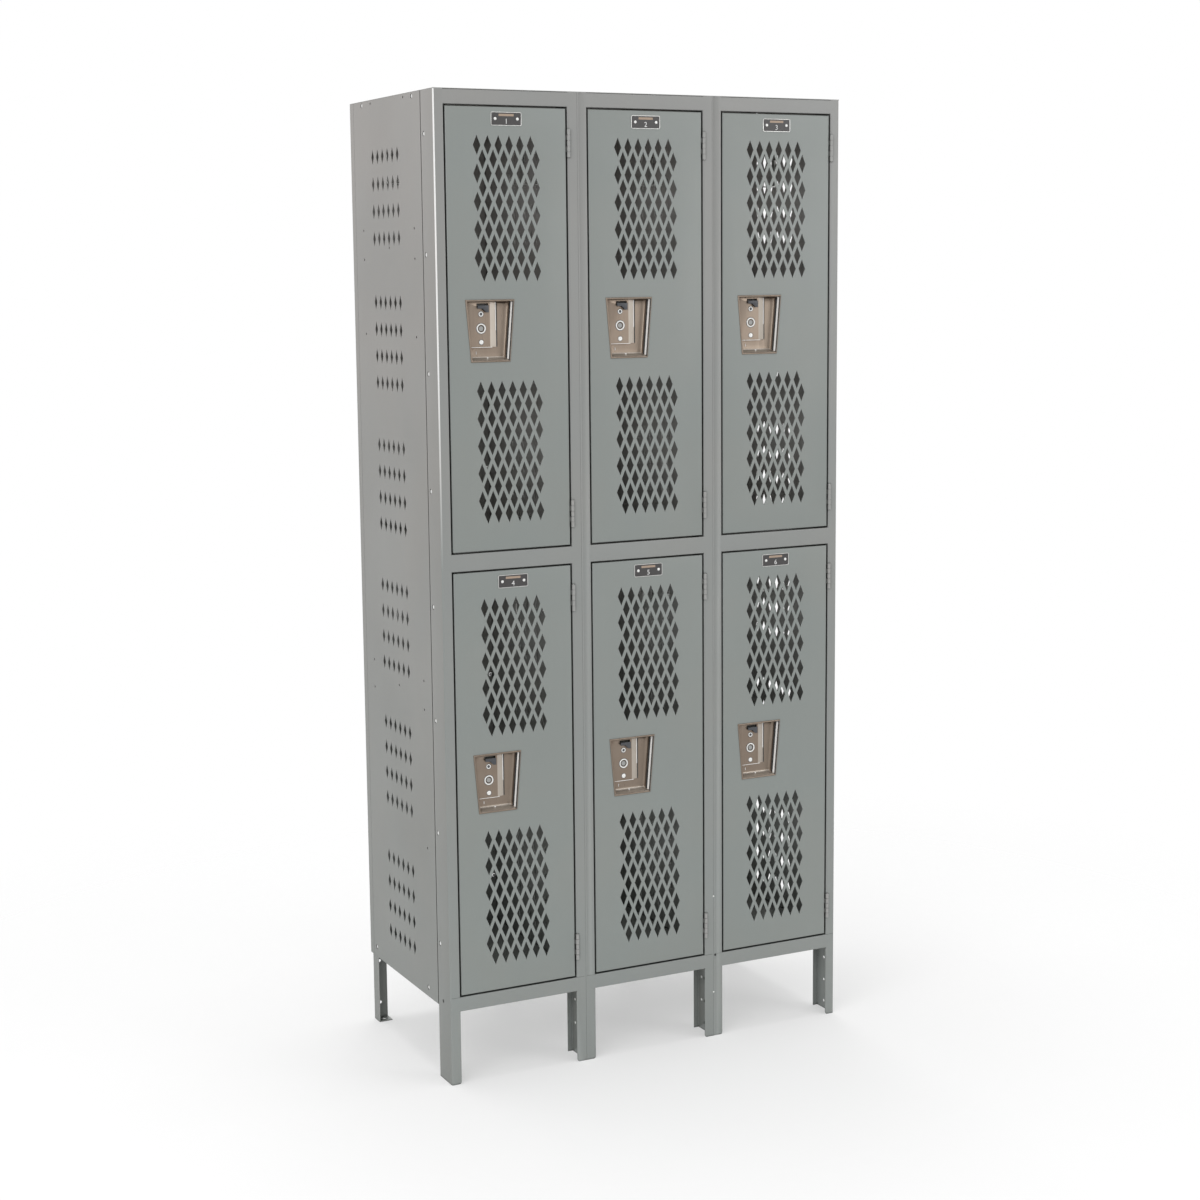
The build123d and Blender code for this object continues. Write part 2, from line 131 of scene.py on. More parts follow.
class LockerFinishes(bpy.types.PropertyGroup):
    """Colours of the bank."""
    front: colour("Door enamel", "Greenish grey enamel of the doors", 0.261, 0.284, 0.272)
    # Painted shade: each low tone darkens its enamel towards the floor, where less light falls.
    front_low: colour("Door enamel, low", "Tone of the doors near the floor",
                      0.256, 0.281, 0.268)
    frame: colour("Frame enamel", "Grey enamel of the face frames", 0.294, 0.298, 0.290)
    frame_low: colour("Frame enamel, low", "Tone of the face frames near the floor",
                      0.268, 0.289, 0.279)
    # Painted light: the side enamel is the front's grey paint made lighter and warmer, as if lit from
    # the upper left.
    side: colour("Side enamel", "Warm grey enamel of the body sheets", 0.326, 0.315, 0.301)
    side_low: colour("Side enamel, low", "Tone of the side sheets near the floor",
                     0.199, 0.212, 0.200)
    # Painted highlight: the bevels of bends, openings and edges take this lighter enamel as a glint
    # along them.
    edge: colour("Sheared edge", "Lighter enamel on bends and sheared edges", 0.62, 0.64, 0.62)
    # Painted highlight: a near-white bend on the front left post, standing in for the bright glint
    # down its corner.
    corner: colour("Lit corner", "Worn bright bend of the front left post, at its top",
                   0.95, 0.95, 0.94)
    cup: colour("Pull cup", "Brown tint of the brushed stainless steel", 0.235, 0.192, 0.155)
    # Painted highlight: a lighter steel for the slope and the shell's foot, standing in for their
    # reflection.
    cup_slope: colour("Cup slope", "Bright slope beside the finger pocket", 0.47, 0.426, 0.372)
    # Painted highlight: the hinge enamel is the frame's grey made lighter, as on lit barrels; the
    # lock ring's disc takes it as its own grey.
    hinge: colour("Hinge", "Light enamel of the hinge barrels", 0.35, 0.355, 0.345)
    # Painted highlight: a near-white wall standing in for the reflection on the cup's rolled right
    # wall.
    cup_bright: colour("Cup wall", "Polished right wall of the cup", 0.98, 0.97, 0.95)
    zinc: colour("Zinc", "Latch bars and hooks", 0.66, 0.66, 0.64)
    bolt: colour("Bolts", "Bright heads of the bolts and rivets", 0.88, 0.88, 0.86)
    plate: colour("Plate", "Black enamel of the number plates", 0.045, 0.042, 0.042)
    plate_bar: colour("Plate bar", "Plain tan bar of the number plates", 0.40, 0.30, 0.225)
    marking: colour("Marking", "Numerals of the plates", 0.80, 0.80, 0.79)
    handle: colour("Lift handle", "Dark blue grey of the lift handles", 0.055, 0.058, 0.066)
    rubber: colour("Rubber", "Silencers", 0.03, 0.03, 0.03)


class LockerDoorSizes(bpy.types.PropertyGroup):
    """Sizes of a door pan."""
    sheet: length("Sheet", "Thickness of the door's steel", 1.9)
    bend: length("Bend", "Outer radius of the bends round the door", 2.6)
    lip: length("Lip", "Width of the rear lip at the top, bottom and hinge side", 12.0)
    latch_lip: length("Latch lip", "Width of the rear lip at the latch side", 30.0)
    # The bevel of this width takes the lighter edge enamel, a painted highlight round every opening
    # and bend.
    edge: length("Edge", "Width of the worn edge round every opening", 0.45)
    columns: count("Columns", "Diamonds in a row of a grille", 6)
    rows: count("Rows", "Rows of a grille", 10)
    column_pitch: length("Column pitch", "Distance of the diamonds in a row", 22.8)
    row_pitch: length("Row pitch", "Distance of the rows", 26.9)
    diamond_width: length("Diamond width", "Width of a diamond", 16.2)
    diamond_height: length("Diamond height", "Height of a diamond", 38.0)
    margin: length("Margin", "From the door's end to the nearest tip of a diamond", 54.0)


class LockerSideSizes(bpy.types.PropertyGroup):
    """Sizes of the side sheets and their vents."""
    groups: count("Groups", "Groups of slots above each other", 6)
    rows: count("Rows", "Rows of slots in a group", 4)
    columns: count("Columns", "Slots in a row", 6)
    group_pitch: length("Group pitch", "Distance of the groups", 293.0)
    row_pitch: length("Row pitch", "Distance of the rows", 54.8)
    column_pitch: length("Column pitch", "Distance of the slots", 27.4)
    slot_width: length("Slot width", "Width of a slot", 15.0)
    slot_height: length("Slot height", "Height of a slot", 31.0)
    first_row: length("First row", "From the top of the bank to the first row", 115.4)
    sheet: length("Sheet", "Thickness of the side sheets", 1.2)
    flange: length("Flange", "Width of the flanges", 12.7)
    rear_strip: length("Rear strip", "Width of the strip along the rear edge", 21.0)
    groove: length("Groove", "Width of an engraved seam", 0.7)


class LockerFrameSizes(bpy.types.PropertyGroup):
    """Sizes of the face frames."""
    sheet: length("Sheet", "Thickness of the frame's steel", 1.5)
    bend: length("Bend", "Radius of the bends at mid thickness", 2.6)
    tight_bend: length("Tight bend", "Radius of the bends beside the doors", 1.3)
    flange: length("Flange", "Rear flange of a post", 12.7)
    strike: length("Strike", "Width of the door's stop", 14.0)
    bottom_rail: length("Bottom rail", "Height of the bottom rail", 30.0)
    middle_rail: length("Middle rail", "Height of the rail between the tiers", 35.0)
    top_rail: length("Top rail", "Height of the top rail", 30.0)
    seam: length("Seam", "Width of the seams between welded pieces", 0.5)
    leg_hole: length("Leg hole", "Radius of the holes in the posts' webs", 3.2)


class LockerCupSizes(bpy.types.PropertyGroup):
    """Sizes of a pull cup with its lock plate and lift handle."""
    sheet: length("Sheet", "Thickness of the cup", 0.9)
    rim: length("Rim", "Width of the rolled rim", 4.2)
    bead: length("Bead", "How far the rolled rim stands out", 1.5)
    depth: length("Depth", "Depth of the finger pocket", 17.0)
    plate_depth: length("Lock plate depth", "Depth of the lock plate", 8.6)
    plate_end: length("Lock plate", "From the cup's left edge to the slope", 55.5)
    slope: length("Slope", "Width of the slope beside the finger pocket", 14.5)
    ledge: length("Ledge", "From the cup's top to the lock plate's lower edge", 92.0)
    hole_column: length("Hole column", "From the cup's top left corner to the holes", 36.5)
    lock_hole: length("Lock hole", "Radius of the ring round the lock hole", 10.0)
    small_hole: length("Small hole", "Radius of the small holes' rings", 5.0)


class LockerHardwareSizes(bpy.types.PropertyGroup):
    """Sizes of hinges, bolts and rivets."""
    knuckles: count("Knuckles", "Knuckles of a hinge", 5)
    knuckle_gap: length("Knuckle gap", "Clearance between the knuckles", 0.4)
    bolt_radius: length("Bolt radius", "Radius of the bolts' heads", 4.3)
    bolt_height: length("Bolt height", "Height of the bolts' domed heads", 1.5)
    rivet_radius: length("Rivet radius", "Radius of the rivets' heads", 3.0)
    bolt_pitch: length("Bolt pitch", "Distance of the bolts along a post", 230.3)
    strap: length("Strap", "Width of the coat hooks", 14.0)


class LockerStageSettings(bpy.types.PropertyGroup):
    """Camera, light and floor."""
    turn: bpy.props.FloatProperty(name="Turn", description="How far the camera looks to the right",
                                  default=math.radians(26.62), subtype="ANGLE")
    dip: bpy.props.FloatProperty(name="Dip", description="How far the camera looks down",
                                 default=math.radians(8.19), subtype="ANGLE")
    roll: bpy.props.FloatProperty(name="Roll", description="Tilt of the camera about its view",
                                  default=math.radians(-0.54), subtype="ANGLE")
    lens: bpy.props.FloatProperty(name="Lens", description="Focal length on a 36 mm sensor",
                                  default=64.49, unit="CAMERA")
    ambient: bpy.props.FloatProperty(name="Ambient", description="Light of the surroundings",
                                     default=0.60, min=0.0)
    key: bpy.props.FloatProperty(name="Key", description="Power of the lamp at the left",
                                 default=92.0, unit="POWER")
    fill: bpy.props.FloatProperty(name="Fill", description="Power of the lamp at the right",
                                  default=42.0, unit="POWER")
    overhead: bpy.props.FloatProperty(name="Overhead", description="Power of the lamp above",
                                      default=104.0, unit="POWER")
    inside: bpy.props.FloatProperty(name="Inside", description="Power of a compartment's glow",
                                    default=0.2, unit="POWER")
    floor_white: share("Floor white", "How much of the floor's look is plain white", 0.42)


# Nodes and materials


def add_node(tree, kind, place, **settings):
    """A node of this kind. A setting is a node's property, or the value of the input so named."""
    node = tree.nodes.new(kind)
    node.location = place
    for name, value in settings.items():
        if name in node.bl_rna.properties:
            setattr(node, name, value)
        else:
            node.inputs[name.replace("_", " ")].default_value = value
    return node


class Finish:
    """A material under construction, with a few nodes that every finish of the bank uses."""

    def __init__(self, name):
        self.material = bpy.data.materials.new(name)
        self.material.use_nodes = True
        self.tree = self.material.node_tree
        self.tree.nodes.clear()
        self.output = add_node(self.tree, "ShaderNodeOutputMaterial", (900, 0))
        self.shader = add_node(self.tree, "ShaderNodeBsdfPrincipled", (600, 0))
        self.coordinates = add_node(self.tree, "ShaderNodeTexCoord", (-900, 0))
        self.link(self.shader.outputs["BSDF"], self.output.inputs["Surface"])
        self.row = 0

    def link(self, source, target):
        """Connects two sockets."""
        self.tree.links.new(source, target)

    def place(self, column):
        """A free spot in this column of the node tree."""
        self.row -= 240
        return (column, self.row)

    def noise(self, scale, detail=3.0, roughness=0.5, stretch=(1.0, 1.0, 1.0)):
        """Noise on the object's own coordinates, stretched along an axis where one is given."""
        mapping = add_node(self.tree, "ShaderNodeMapping", self.place(-700))
        mapping.inputs["Scale"].default_value = stretch
        noise = add_node(self.tree, "ShaderNodeTexNoise", self.place(-500), Scale=scale,
                         Detail=detail, Roughness=roughness)
        self.link(self.coordinates.outputs["Object"], mapping.inputs["Vector"])
        self.link(mapping.outputs["Vector"], noise.inputs["Vector"])
        return noise.outputs["Fac"]

    def span(self, factor, low, high, start=0.3, end=0.7):
        """Turns a factor between start and end into values between low and high."""
        reach = add_node(self.tree, "ShaderNodeMapRange", self.place(-250))
        for name, value in (("From Min", start), ("From Max", end), ("To Min", low),
                            ("To Max", high)):
            reach.inputs[name].default_value = value
        self.link(factor, reach.inputs["Value"])
        return reach.outputs["Result"]

    def blend(self, factor, first, second, mode="MIX"):
        """Mixes two colours, each given as four values or as a socket."""
        mix = add_node(self.tree, "ShaderNodeMix", self.place(0), data_type="RGBA",
                       blend_type=mode)
        self.link(factor, mix.inputs["Factor"])
        for value, socket in ((first, mix.inputs[6]), (second, mix.inputs[7])):
            if isinstance(value, bpy.types.NodeSocket):
                self.link(value, socket)
            else:
                socket.default_value = value
        return mix.outputs[2]

    def bumps(self, *layers):
        """Stacks bumps on the shader. A layer is a height socket, a strength and a distance."""
        normal = None
        for height, strength, distance in layers:
            bump = add_node(self.tree, "ShaderNodeBump", self.place(300), Strength=strength,
                            Distance=distance)
            self.link(height, bump.inputs["Height"])
            if normal:
                self.link(normal, bump.inputs["Normal"])
            normal = bump.outputs["Normal"]
        self.link(normal, self.shader.inputs["Normal"])

    def set(self, **values):
        """Sets plain values on the shader's own sockets."""
        for name, value in values.items():
            self.shader.inputs[name.replace("_", " ")].default_value = value


def tone(base, factor):
    """The colour made lighter or darker."""
    return (base[0] * factor, base[1] * factor, base[2] * factor, 1.0)


def enamel(name, base, low=None, gloss=0.36, fade=None):
    """Baked enamel on sheet steel: orange peel, faint clouds, painted shade in crevices, painted
    light by height where a low tone is given, and a satin gloss.
    """
    finish = Finish(name)
    clouds = finish.noise(2.6, 4.0, 0.55)
    streaks = finish.noise(1.0, 3.0, 0.5, stretch=(30.0, 30.0, 1.4))
    dust = finish.noise(620.0, 2.0, 0.6)
    under = tone(base, 1.0)
    # Painted light by height: the low tone near the floor blends into the base tone higher up. For
    # the enamels this is painted shade; for the corner it is the fall-off of its painted highlight.
    if low:
        height = add_node(finish.tree, "ShaderNodeSeparateXYZ", finish.place(-700))
        finish.link(finish.coordinates.outputs["Object"], height.inputs["Vector"])
        start, end = fade or (body_low, body_high)
        under = finish.blend(finish.span(height.outputs["Z"], 0.0, 1.0, start, end), low, base)
    warm = finish.noise(4.5, 2.0, 0.5)
    # Painted shade: ambient occlusion darkens the enamel in gaps, bends and openings, where shade
    # falls.
    crevice_shade = add_node(finish.tree, "ShaderNodeAmbientOcclusion", finish.place(-500), samples=4,
                       Distance=5.0 * MM)
    for factor, shade_colour in (
            (finish.span(clouds, 0.0, 0.16), (0.80, 0.80, 0.80, 1.0)),
            (finish.span(streaks, 0.0, 0.03, 0.45, 0.75), (1.25, 1.25, 1.25, 1.0)),
            (finish.span(warm, 0.0, 0.5, 0.4, 0.65), (1.05, 1.01, 0.99, 1.0)),
            (finish.span(dust, 0.0, 0.10, 0.5, 0.7), (0.62, 0.62, 0.62, 1.0)),
            (finish.span(crevice_shade.outputs["AO"], 1.0, 0.0, 0.42, 0.86), (0.06, 0.06, 0.06, 1.0))):
        under = finish.blend(factor, under, shade_colour, "MULTIPLY")
    finish.link(under, finish.shader.inputs["Base Color"])
    rough = finish.span(clouds, gloss - 0.05, gloss + 0.07)
    finish.link(rough, finish.shader.inputs["Roughness"])
    peel = finish.noise(420.0, 2.0, 0.5)
    waves = finish.noise(11.0, 2.0, 0.4)
    finish.bumps((waves, 0.10, 4.0 * MM), (peel, 0.10, 0.25 * MM))
    finish.set(Coat_Weight=0.12, Coat_Roughness=0.25)
    return finish.material


def brushed_steel(name, base, stroke=(500.0, 500.0, 9.0), metallic=1.0):
    """Stainless steel with fine strokes along one axis, a faint tarnish and painted shade in its
    corners.
    """
    finish = Finish(name)
    strokes = finish.noise(1.0, 3.0, 0.6, stretch=stroke)
    tarnish = finish.noise(26.0, 3.0, 0.5)
    warm = finish.blend(finish.span(tarnish, 0.0, 0.45), tone(base, 1.0),
                        (base[0] * 0.80, base[1] * 0.74, base[2] * 0.70, 1.0))
    lined = finish.blend(finish.span(strokes, 0.0, 0.30), warm, tone(base, 1.25))
    # Painted shade: ambient occlusion darkens the steel towards brown in the cup's corners and under
    # its rim.
    corner = add_node(finish.tree, "ShaderNodeAmbientOcclusion", finish.place(-500), samples=4,
                      Distance=12.0 * MM)
    shaded = finish.blend(finish.span(corner.outputs["AO"], 1.0, 0.0, 0.2, 0.75), lined,
                          (0.36, 0.28, 0.24, 1.0), "MULTIPLY")
    finish.link(shaded, finish.shader.inputs["Base Color"])
    finish.link(finish.span(strokes, 0.26, 0.42), finish.shader.inputs["Roughness"])
    finish.bumps((strokes, 0.12, 0.08 * MM))
    finish.set(Metallic=metallic, Anisotropic=0.35)
    return finish.material


def satin_metal(name, base, metallic):
    """Bright satin metal with faint patches."""
    finish = Finish(name)
    patches = finish.noise(60.0, 3.0, 0.5)
    finish.link(finish.blend(finish.span(patches, 0.0, 0.3), tone(base, 1.0), tone(base, 0.85)),
                finish.shader.inputs["Base Color"])
    finish.link(finish.span(patches, 0.26, 0.36), finish.shader.inputs["Roughness"])
    finish.bumps((patches, 0.08, 0.1 * MM))
    finish.set(Metallic=metallic)
    return finish.material


def zinc_plating(name, base):
    """Bright zinc with a fine crystal pattern and dull patches."""
    finish = Finish(name)
    crystals = add_node(finish.tree, "ShaderNodeTexVoronoi", finish.place(-500), Scale=260.0)
    finish.link(finish.coordinates.outputs["Object"], crystals.inputs["Vector"])
    patches = finish.noise(45.0, 3.0, 0.5)
    spangle = finish.blend(crystals.outputs["Distance"], tone(base, 1.08), tone(base, 0.86))
    dull = finish.blend(finish.span(patches, 0.0, 0.35), spangle, tone(base, 0.72))
    finish.link(dull, finish.shader.inputs["Base Color"])
    finish.link(finish.span(patches, 0.28, 0.46), finish.shader.inputs["Roughness"])
    finish.bumps((crystals.outputs["Distance"], 0.10, 0.1 * MM))
    finish.set(Metallic=0.9)
    return finish.material


def dark_enamel(name, base, gloss=0.3):
    """Smooth dark enamel with fine scratches and dust."""
    finish = Finish(name)
    scratches = finish.noise(1.0, 2.0, 0.7, stretch=(90.0, 90.0, 2200.0))
    dust = finish.noise(900.0, 2.0, 0.6)
    marked = finish.blend(finish.span(scratches, 0.0, 0.25, 0.55, 0.8), tone(base, 1.0),
                          tone(base, 1.8))
    dusty = finish.blend(finish.span(dust, 0.0, 0.15, 0.55, 0.8), marked, (0.3, 0.3, 0.3, 1.0))
    finish.link(dusty, finish.shader.inputs["Base Color"])
    finish.link(finish.span(dust, gloss - 0.04, gloss + 0.12), finish.shader.inputs["Roughness"])
    finish.bumps((dust, 0.08, 0.1 * MM))
    return finish.material


def moulded_rubber(name, base):
    """Matt black rubber with a fine grain."""
    finish = Finish(name)
    grain = finish.noise(1400.0, 3.0, 0.6)
    finish.link(finish.blend(finish.span(grain, 0.0, 0.5), tone(base, 1.0), tone(base, 1.9)),
                finish.shader.inputs["Base Color"])
    finish.link(finish.span(grain, 0.72, 0.86), finish.shader.inputs["Roughness"])
    finish.bumps((grain, 0.3, 0.15 * MM))
    return finish.material


finishes = {}


# Meshes


def mesh_from(name, builder):
    """A mesh made by a function that fills a bmesh."""
    shape = bmesh.new()
    builder(shape)
    mesh = bpy.data.meshes.new(name)
    shape.to_mesh(mesh)
    shape.free()
    return mesh


def add_prism(shape, outline, axis, low, high):
    """A closed prism: the outline's points lie in the plane across the axis, in cyclic order."""
    def point(pair, level):
        if axis == "X":
            return (level, pair[0], pair[1])
        if axis == "Y":
            return (pair[0], level, pair[1])
        return (pair[0], pair[1], level)
    lows = [shape.verts.new(point(pair, low)) for pair in outline]
    highs = [shape.verts.new(point(pair, high)) for pair in outline]
    faces = [shape.faces.new(lows), shape.faces.new(highs)]
    for index in range(len(outline)):
        after = (index + 1) % len(outline)
        faces.append(shape.faces.new((lows[index], lows[after], highs[after], highs[index])))
    bmesh.ops.recalc_face_normals(shape, faces=faces)
    return faces


def add_block(shape, lows, highs):
    """A box between two corners."""
    outline = ((lows[0], lows[1]), (highs[0], lows[1]), (highs[0], highs[1]), (lows[0], highs[1]))
    return add_prism(shape, outline, "Z", lows[2], highs[2])


def circle(centre, radius, steps=16):
    """Points of a circle in a plane."""
    return [(centre[0] + radius * math.cos(math.tau * step / steps),
             centre[1] + radius * math.sin(math.tau * step / steps)) for step in range(steps)]


def folded(path, sheet, radius, steps=6):
    """Outline of a folded sheet. The path runs at mid thickness, and each corner is rounded
    by the radius, which is one value or one for each inner corner."""
    points = [Vector(pair) for pair in path]
    radii = radius if isinstance(radius, (list, tuple)) else [radius] * (len(points) - 2)
    lefts = []
    rights = []

    def add(place, direction):
        normal = Vector((-direction.y, direction.x))
        lefts.append(place + normal * sheet / 2)
        rights.append(place - normal * sheet / 2)

    add(points[0], (points[1] - points[0]).normalized())
    for before, corner, after, bend in zip(points, points[1:], points[2:], radii):
        inward = (corner - before).normalized()
        outward = (after - corner).normalized()
        turn = math.atan2(inward.cross(outward), inward.dot(outward))
        side = math.copysign(1.0, turn)
        normal = Vector((-inward.y, inward.x)) * side
        centre = corner - inward * bend * math.tan(abs(turn) / 2) + normal * bend
        for step in range(steps + 1):
            spin = Matrix.Rotation(turn * step / steps, 2)
            add(centre + spin @ (-normal * bend), spin @ inward)
    add(points[-1], (points[-1] - points[-2]).normalized())
    return [tuple(point) for point in lefts + rights[::-1]]


def baked(mesh, *modifiers):
    """The mesh after these modifiers, each given as its type and its settings."""
    while len(mesh.materials) < 3:
        mesh.materials.append(None)
    holder = bpy.data.objects.new("holder", mesh)
    bpy.context.scene.collection.objects.link(holder)
    for kind, settings in modifiers:
        modifier = holder.modifiers.new(kind.lower(), kind)
        for name, value in settings.items():
            setattr(modifier, name, value)
    graph = bpy.context.evaluated_depsgraph_get()
    result = bpy.data.meshes.new_from_object(holder.evaluated_get(graph), depsgraph=graph)
    bpy.data.objects.remove(holder)
    return result


def cut(mesh, *builders):
    """The mesh with the volumes of these builders cut out of it."""
    for builder in builders:
        tool = bpy.data.objects.new("tool", mesh_from("tool", builder))
        bpy.context.scene.collection.objects.link(tool)
        mesh = baked(mesh, ("BOOLEAN", {"object": tool, "operation": "DIFFERENCE",
                                        "solver": "EXACT", "use_self": True}))
        bpy.data.objects.remove(tool)
    return mesh


def fused(meshes):
    """One closed mesh of these overlapping meshes, with its flat faces joined."""
    mesh = meshes[0]
    for other in meshes[1:]:
        tool = bpy.data.objects.new("tool", other)
        bpy.context.scene.collection.objects.link(tool)
        mesh = baked(mesh, ("BOOLEAN", {"object": tool, "operation": "UNION",
                                        "solver": "EXACT", "use_self": True}))
        bpy.data.objects.remove(tool)
    shape = bmesh.new()
    shape.from_mesh(mesh)
    bmesh.ops.dissolve_limit(shape, angle_limit=math.radians(0.5), verts=shape.verts,
                             edges=shape.edges)
    shape.to_mesh(mesh)
    shape.free()
    return mesh


def eased(mesh, width, segments=1, material=-1, angle=30.0):
    """The mesh with its sharp edges bevelled."""
    return baked(mesh, ("BEVEL", {"width": width, "segments": segments, "limit_method": "ANGLE",
                                  "angle_limit": math.radians(angle), "material": material,
                                  "use_clamp_overlap": True}))


def shade(mesh, angle=35.0):
    """Smooths the bends and leaves the flats of the sheet flat."""
    for face in mesh.polygons:
        face.use_smooth = max(abs(value) for value in face.normal) < 0.9999
    mesh.set_sharp_from_angle(angle=math.radians(angle))
    return mesh


def piece(name, mesh, body, materials, nodes=(), offset=(0.0, 0.0, 0.0)):
    """Puts a copy of the mesh in place as one piece that rides on a body."""
    copy = mesh.copy()
    copy.name = name
    copy.transform(Matrix.Translation(offset))
    indices = [face.material_index for face in copy.polygons]
    copy.materials.clear()
    for material in materials:
        copy.materials.append(finishes[material])
    copy.polygons.foreach_set("material_index", [min(index, len(materials) - 1)
                                                 for index in indices])
    thing = bpy.data.objects.new(name, copy)
    bpy.context.scene.collection.objects.link(thing)
    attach(thing, body)
    if nodes:
        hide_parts(*nodes)
    return thing


def door_corner(door):
    """The place of a door's own frame: its left edge, its face and its bottom edge."""
    low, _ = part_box(f"{door}_door")
    return low


def unit_corner(unit):
    """The place of a unit's own frame: its left edge, the face and the floor."""
    low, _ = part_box(f"{unit}_face_frame")
    return Vector((low.x, low.y, 0.0))


def merged_copy(node):
    """A welded copy of a CAD node's mesh, with its flat faces joined."""
    mesh = frame["nodes"][node].data.copy()
    shape = bmesh.new()
    shape.from_mesh(mesh)
    bmesh.ops.remove_doubles(shape, verts=shape.verts, dist=1e-6)
    bmesh.ops.dissolve_limit(shape, angle_limit=math.radians(1.0), verts=shape.verts,
                             edges=shape.edges)
    shape.to_mesh(mesh)
    shape.free()
    mesh.materials.clear()
    return mesh


# Geometry Nodes trees


def add_inputs(tree, *sockets):
    """Declares a tree's geometry and its named inputs, and gives its two end nodes."""
    tree.interface.new_socket("Geometry", in_out="INPUT", socket_type="NodeSocketGeometry")
    for name, kind in sockets:
        tree.interface.new_socket(name, in_out="INPUT", socket_type=f"NodeSocket{kind}")
    tree.interface.new_socket("Geometry", in_out="OUTPUT", socket_type="NodeSocketGeometry")
    start = tree.nodes.new("NodeGroupInput")
    start.location = (-1400, 0)
    end = tree.nodes.new("NodeGroupOutput")
    end.location = (1600, 0)
    return start.outputs, end.inputs


def perforated_sheet_tree():
    """Fills an outline, leaves diamonds out in rows and groups, and gives it thickness."""
    tree = bpy.data.node_groups.new("perforated_sheet", "GeometryNodeTree")
    given, result = add_inputs(
        tree, ("Columns", "Int"), ("Rows", "Int"), ("Groups", "Int"), ("First Hole", "Vector"),
        ("Column Pitch", "Float"), ("Row Pitch", "Float"), ("Group Pitch", "Float"),
        ("Stagger", "Float"), ("Hole Width", "Float"), ("Hole Height", "Float"),
        ("Thickness", "Float"), ("Material", "Material"))

    def maths(operation, first, second, place):
        node = add_node(tree, "ShaderNodeMath", place, operation=operation)
        for value, socket in ((first, node.inputs[0]), (second, node.inputs[1])):
            if isinstance(value, bpy.types.NodeSocket):
                tree.links.new(value, socket)
            else:
                socket.default_value = value
        return node.outputs[0]

    index = add_node(tree, "GeometryNodeInputIndex", (-1400, -500)).outputs[0]
    column = maths("MODULO", index, given["Columns"], (-1200, -400))
    line = maths("FLOOR", maths("DIVIDE", index, given["Columns"], (-1200, -600)), 0.0,
                 (-1050, -600))
    row = maths("MODULO", line, given["Rows"], (-900, -500))
    group = maths("FLOOR", maths("DIVIDE", line, given["Rows"], (-900, -700)), 0.0, (-750, -700))
    odd = maths("MODULO", row, 2.0, (-750, -500))
    shift = maths("MULTIPLY", odd, given["Stagger"], (-600, -500))
    across = maths("MULTIPLY", maths("ADD", column, shift, (-450, -400)), given["Column Pitch"],
                   (-300, -400))
    down = maths("ADD", maths("MULTIPLY", row, given["Row Pitch"], (-450, -600)),
                 maths("MULTIPLY", group, given["Group Pitch"], (-450, -750)), (-300, -600))
    place = add_node(tree, "ShaderNodeCombineXYZ", (-150, -500))
    tree.links.new(across, place.inputs["X"])
    tree.links.new(maths("MULTIPLY", down, -1.0, (-150, -700)), place.inputs["Y"])
    offset = add_node(tree, "ShaderNodeVectorMath", (0, -500), operation="ADD")
    tree.links.new(place.outputs[0], offset.inputs[0])
    tree.links.new(given["First Hole"], offset.inputs[1])
    total = maths("MULTIPLY", maths("MULTIPLY", given["Columns"], given["Rows"], (-450, -200)),
                  given["Groups"], (-300, -200))
    points = add_node(tree, "GeometryNodePoints", (150, -300))
    tree.links.new(total, points.inputs["Count"])
    tree.links.new(offset.outputs[0], points.inputs["Position"])
    hole = add_node(tree, "GeometryNodeCurvePrimitiveQuadrilateral", (150, -600), mode="KITE")
    half_height = maths("MULTIPLY", given["Hole Height"], 0.5, (0, -800))
    tree.links.new(given["Hole Width"], hole.inputs["Width"])
    tree.links.new(half_height, hole.inputs["Bottom Height"])
    tree.links.new(half_height, hole.inputs["Top Height"])
    spread = add_node(tree, "GeometryNodeInstanceOnPoints", (320, -300))
    tree.links.new(points.outputs[0], spread.inputs["Points"])
    tree.links.new(hole.outputs[0], spread.inputs["Instance"])
    real_holes = add_node(tree, "GeometryNodeRealizeInstances", (480, -300))
    tree.links.new(spread.outputs[0], real_holes.inputs[0])
    outline = add_node(tree, "GeometryNodeMeshToCurve", (320, 0))
    tree.links.new(given["Geometry"], outline.inputs["Mesh"])
    lines = add_node(tree, "GeometryNodeJoinGeometry", (620, -100))
    tree.links.new(outline.outputs[0], lines.inputs[0])
    tree.links.new(real_holes.outputs[0], lines.inputs[0])
    fill = add_node(tree, "GeometryNodeFillCurve", (760, -100), mode="NGONS")
    tree.links.new(lines.outputs[0], fill.inputs["Curve"])
    raised = add_node(tree, "GeometryNodeExtrudeMesh", (900, 0))
    raised.inputs["Individual"].default_value = False
    tree.links.new(fill.outputs[0], raised.inputs["Mesh"])
    tree.links.new(given["Thickness"], raised.inputs["Offset Scale"])
    under = add_node(tree, "GeometryNodeFlipFaces", (900, -250))
    tree.links.new(fill.outputs[0], under.inputs["Mesh"])
    both = add_node(tree, "GeometryNodeJoinGeometry", (1050, -100))
    tree.links.new(raised.outputs["Mesh"], both.inputs[0])
    tree.links.new(under.outputs[0], both.inputs[0])
    welded = add_node(tree, "GeometryNodeMergeByDistance", (1180, -100))
    welded.inputs["Distance"].default_value = 1e-6
    tree.links.new(both.outputs[0], welded.inputs["Geometry"])
    real = add_node(tree, "GeometryNodeRealizeInstances", (1320, -100))
    tree.links.new(welded.outputs[0], real.inputs[0])
    painted = add_node(tree, "GeometryNodeSetMaterial", (1460, -100))
    tree.links.new(real.outputs[0], painted.inputs["Geometry"])
    tree.links.new(given["Material"], painted.inputs["Material"])
    tree.links.new(painted.outputs[0], result[0])
    return tree


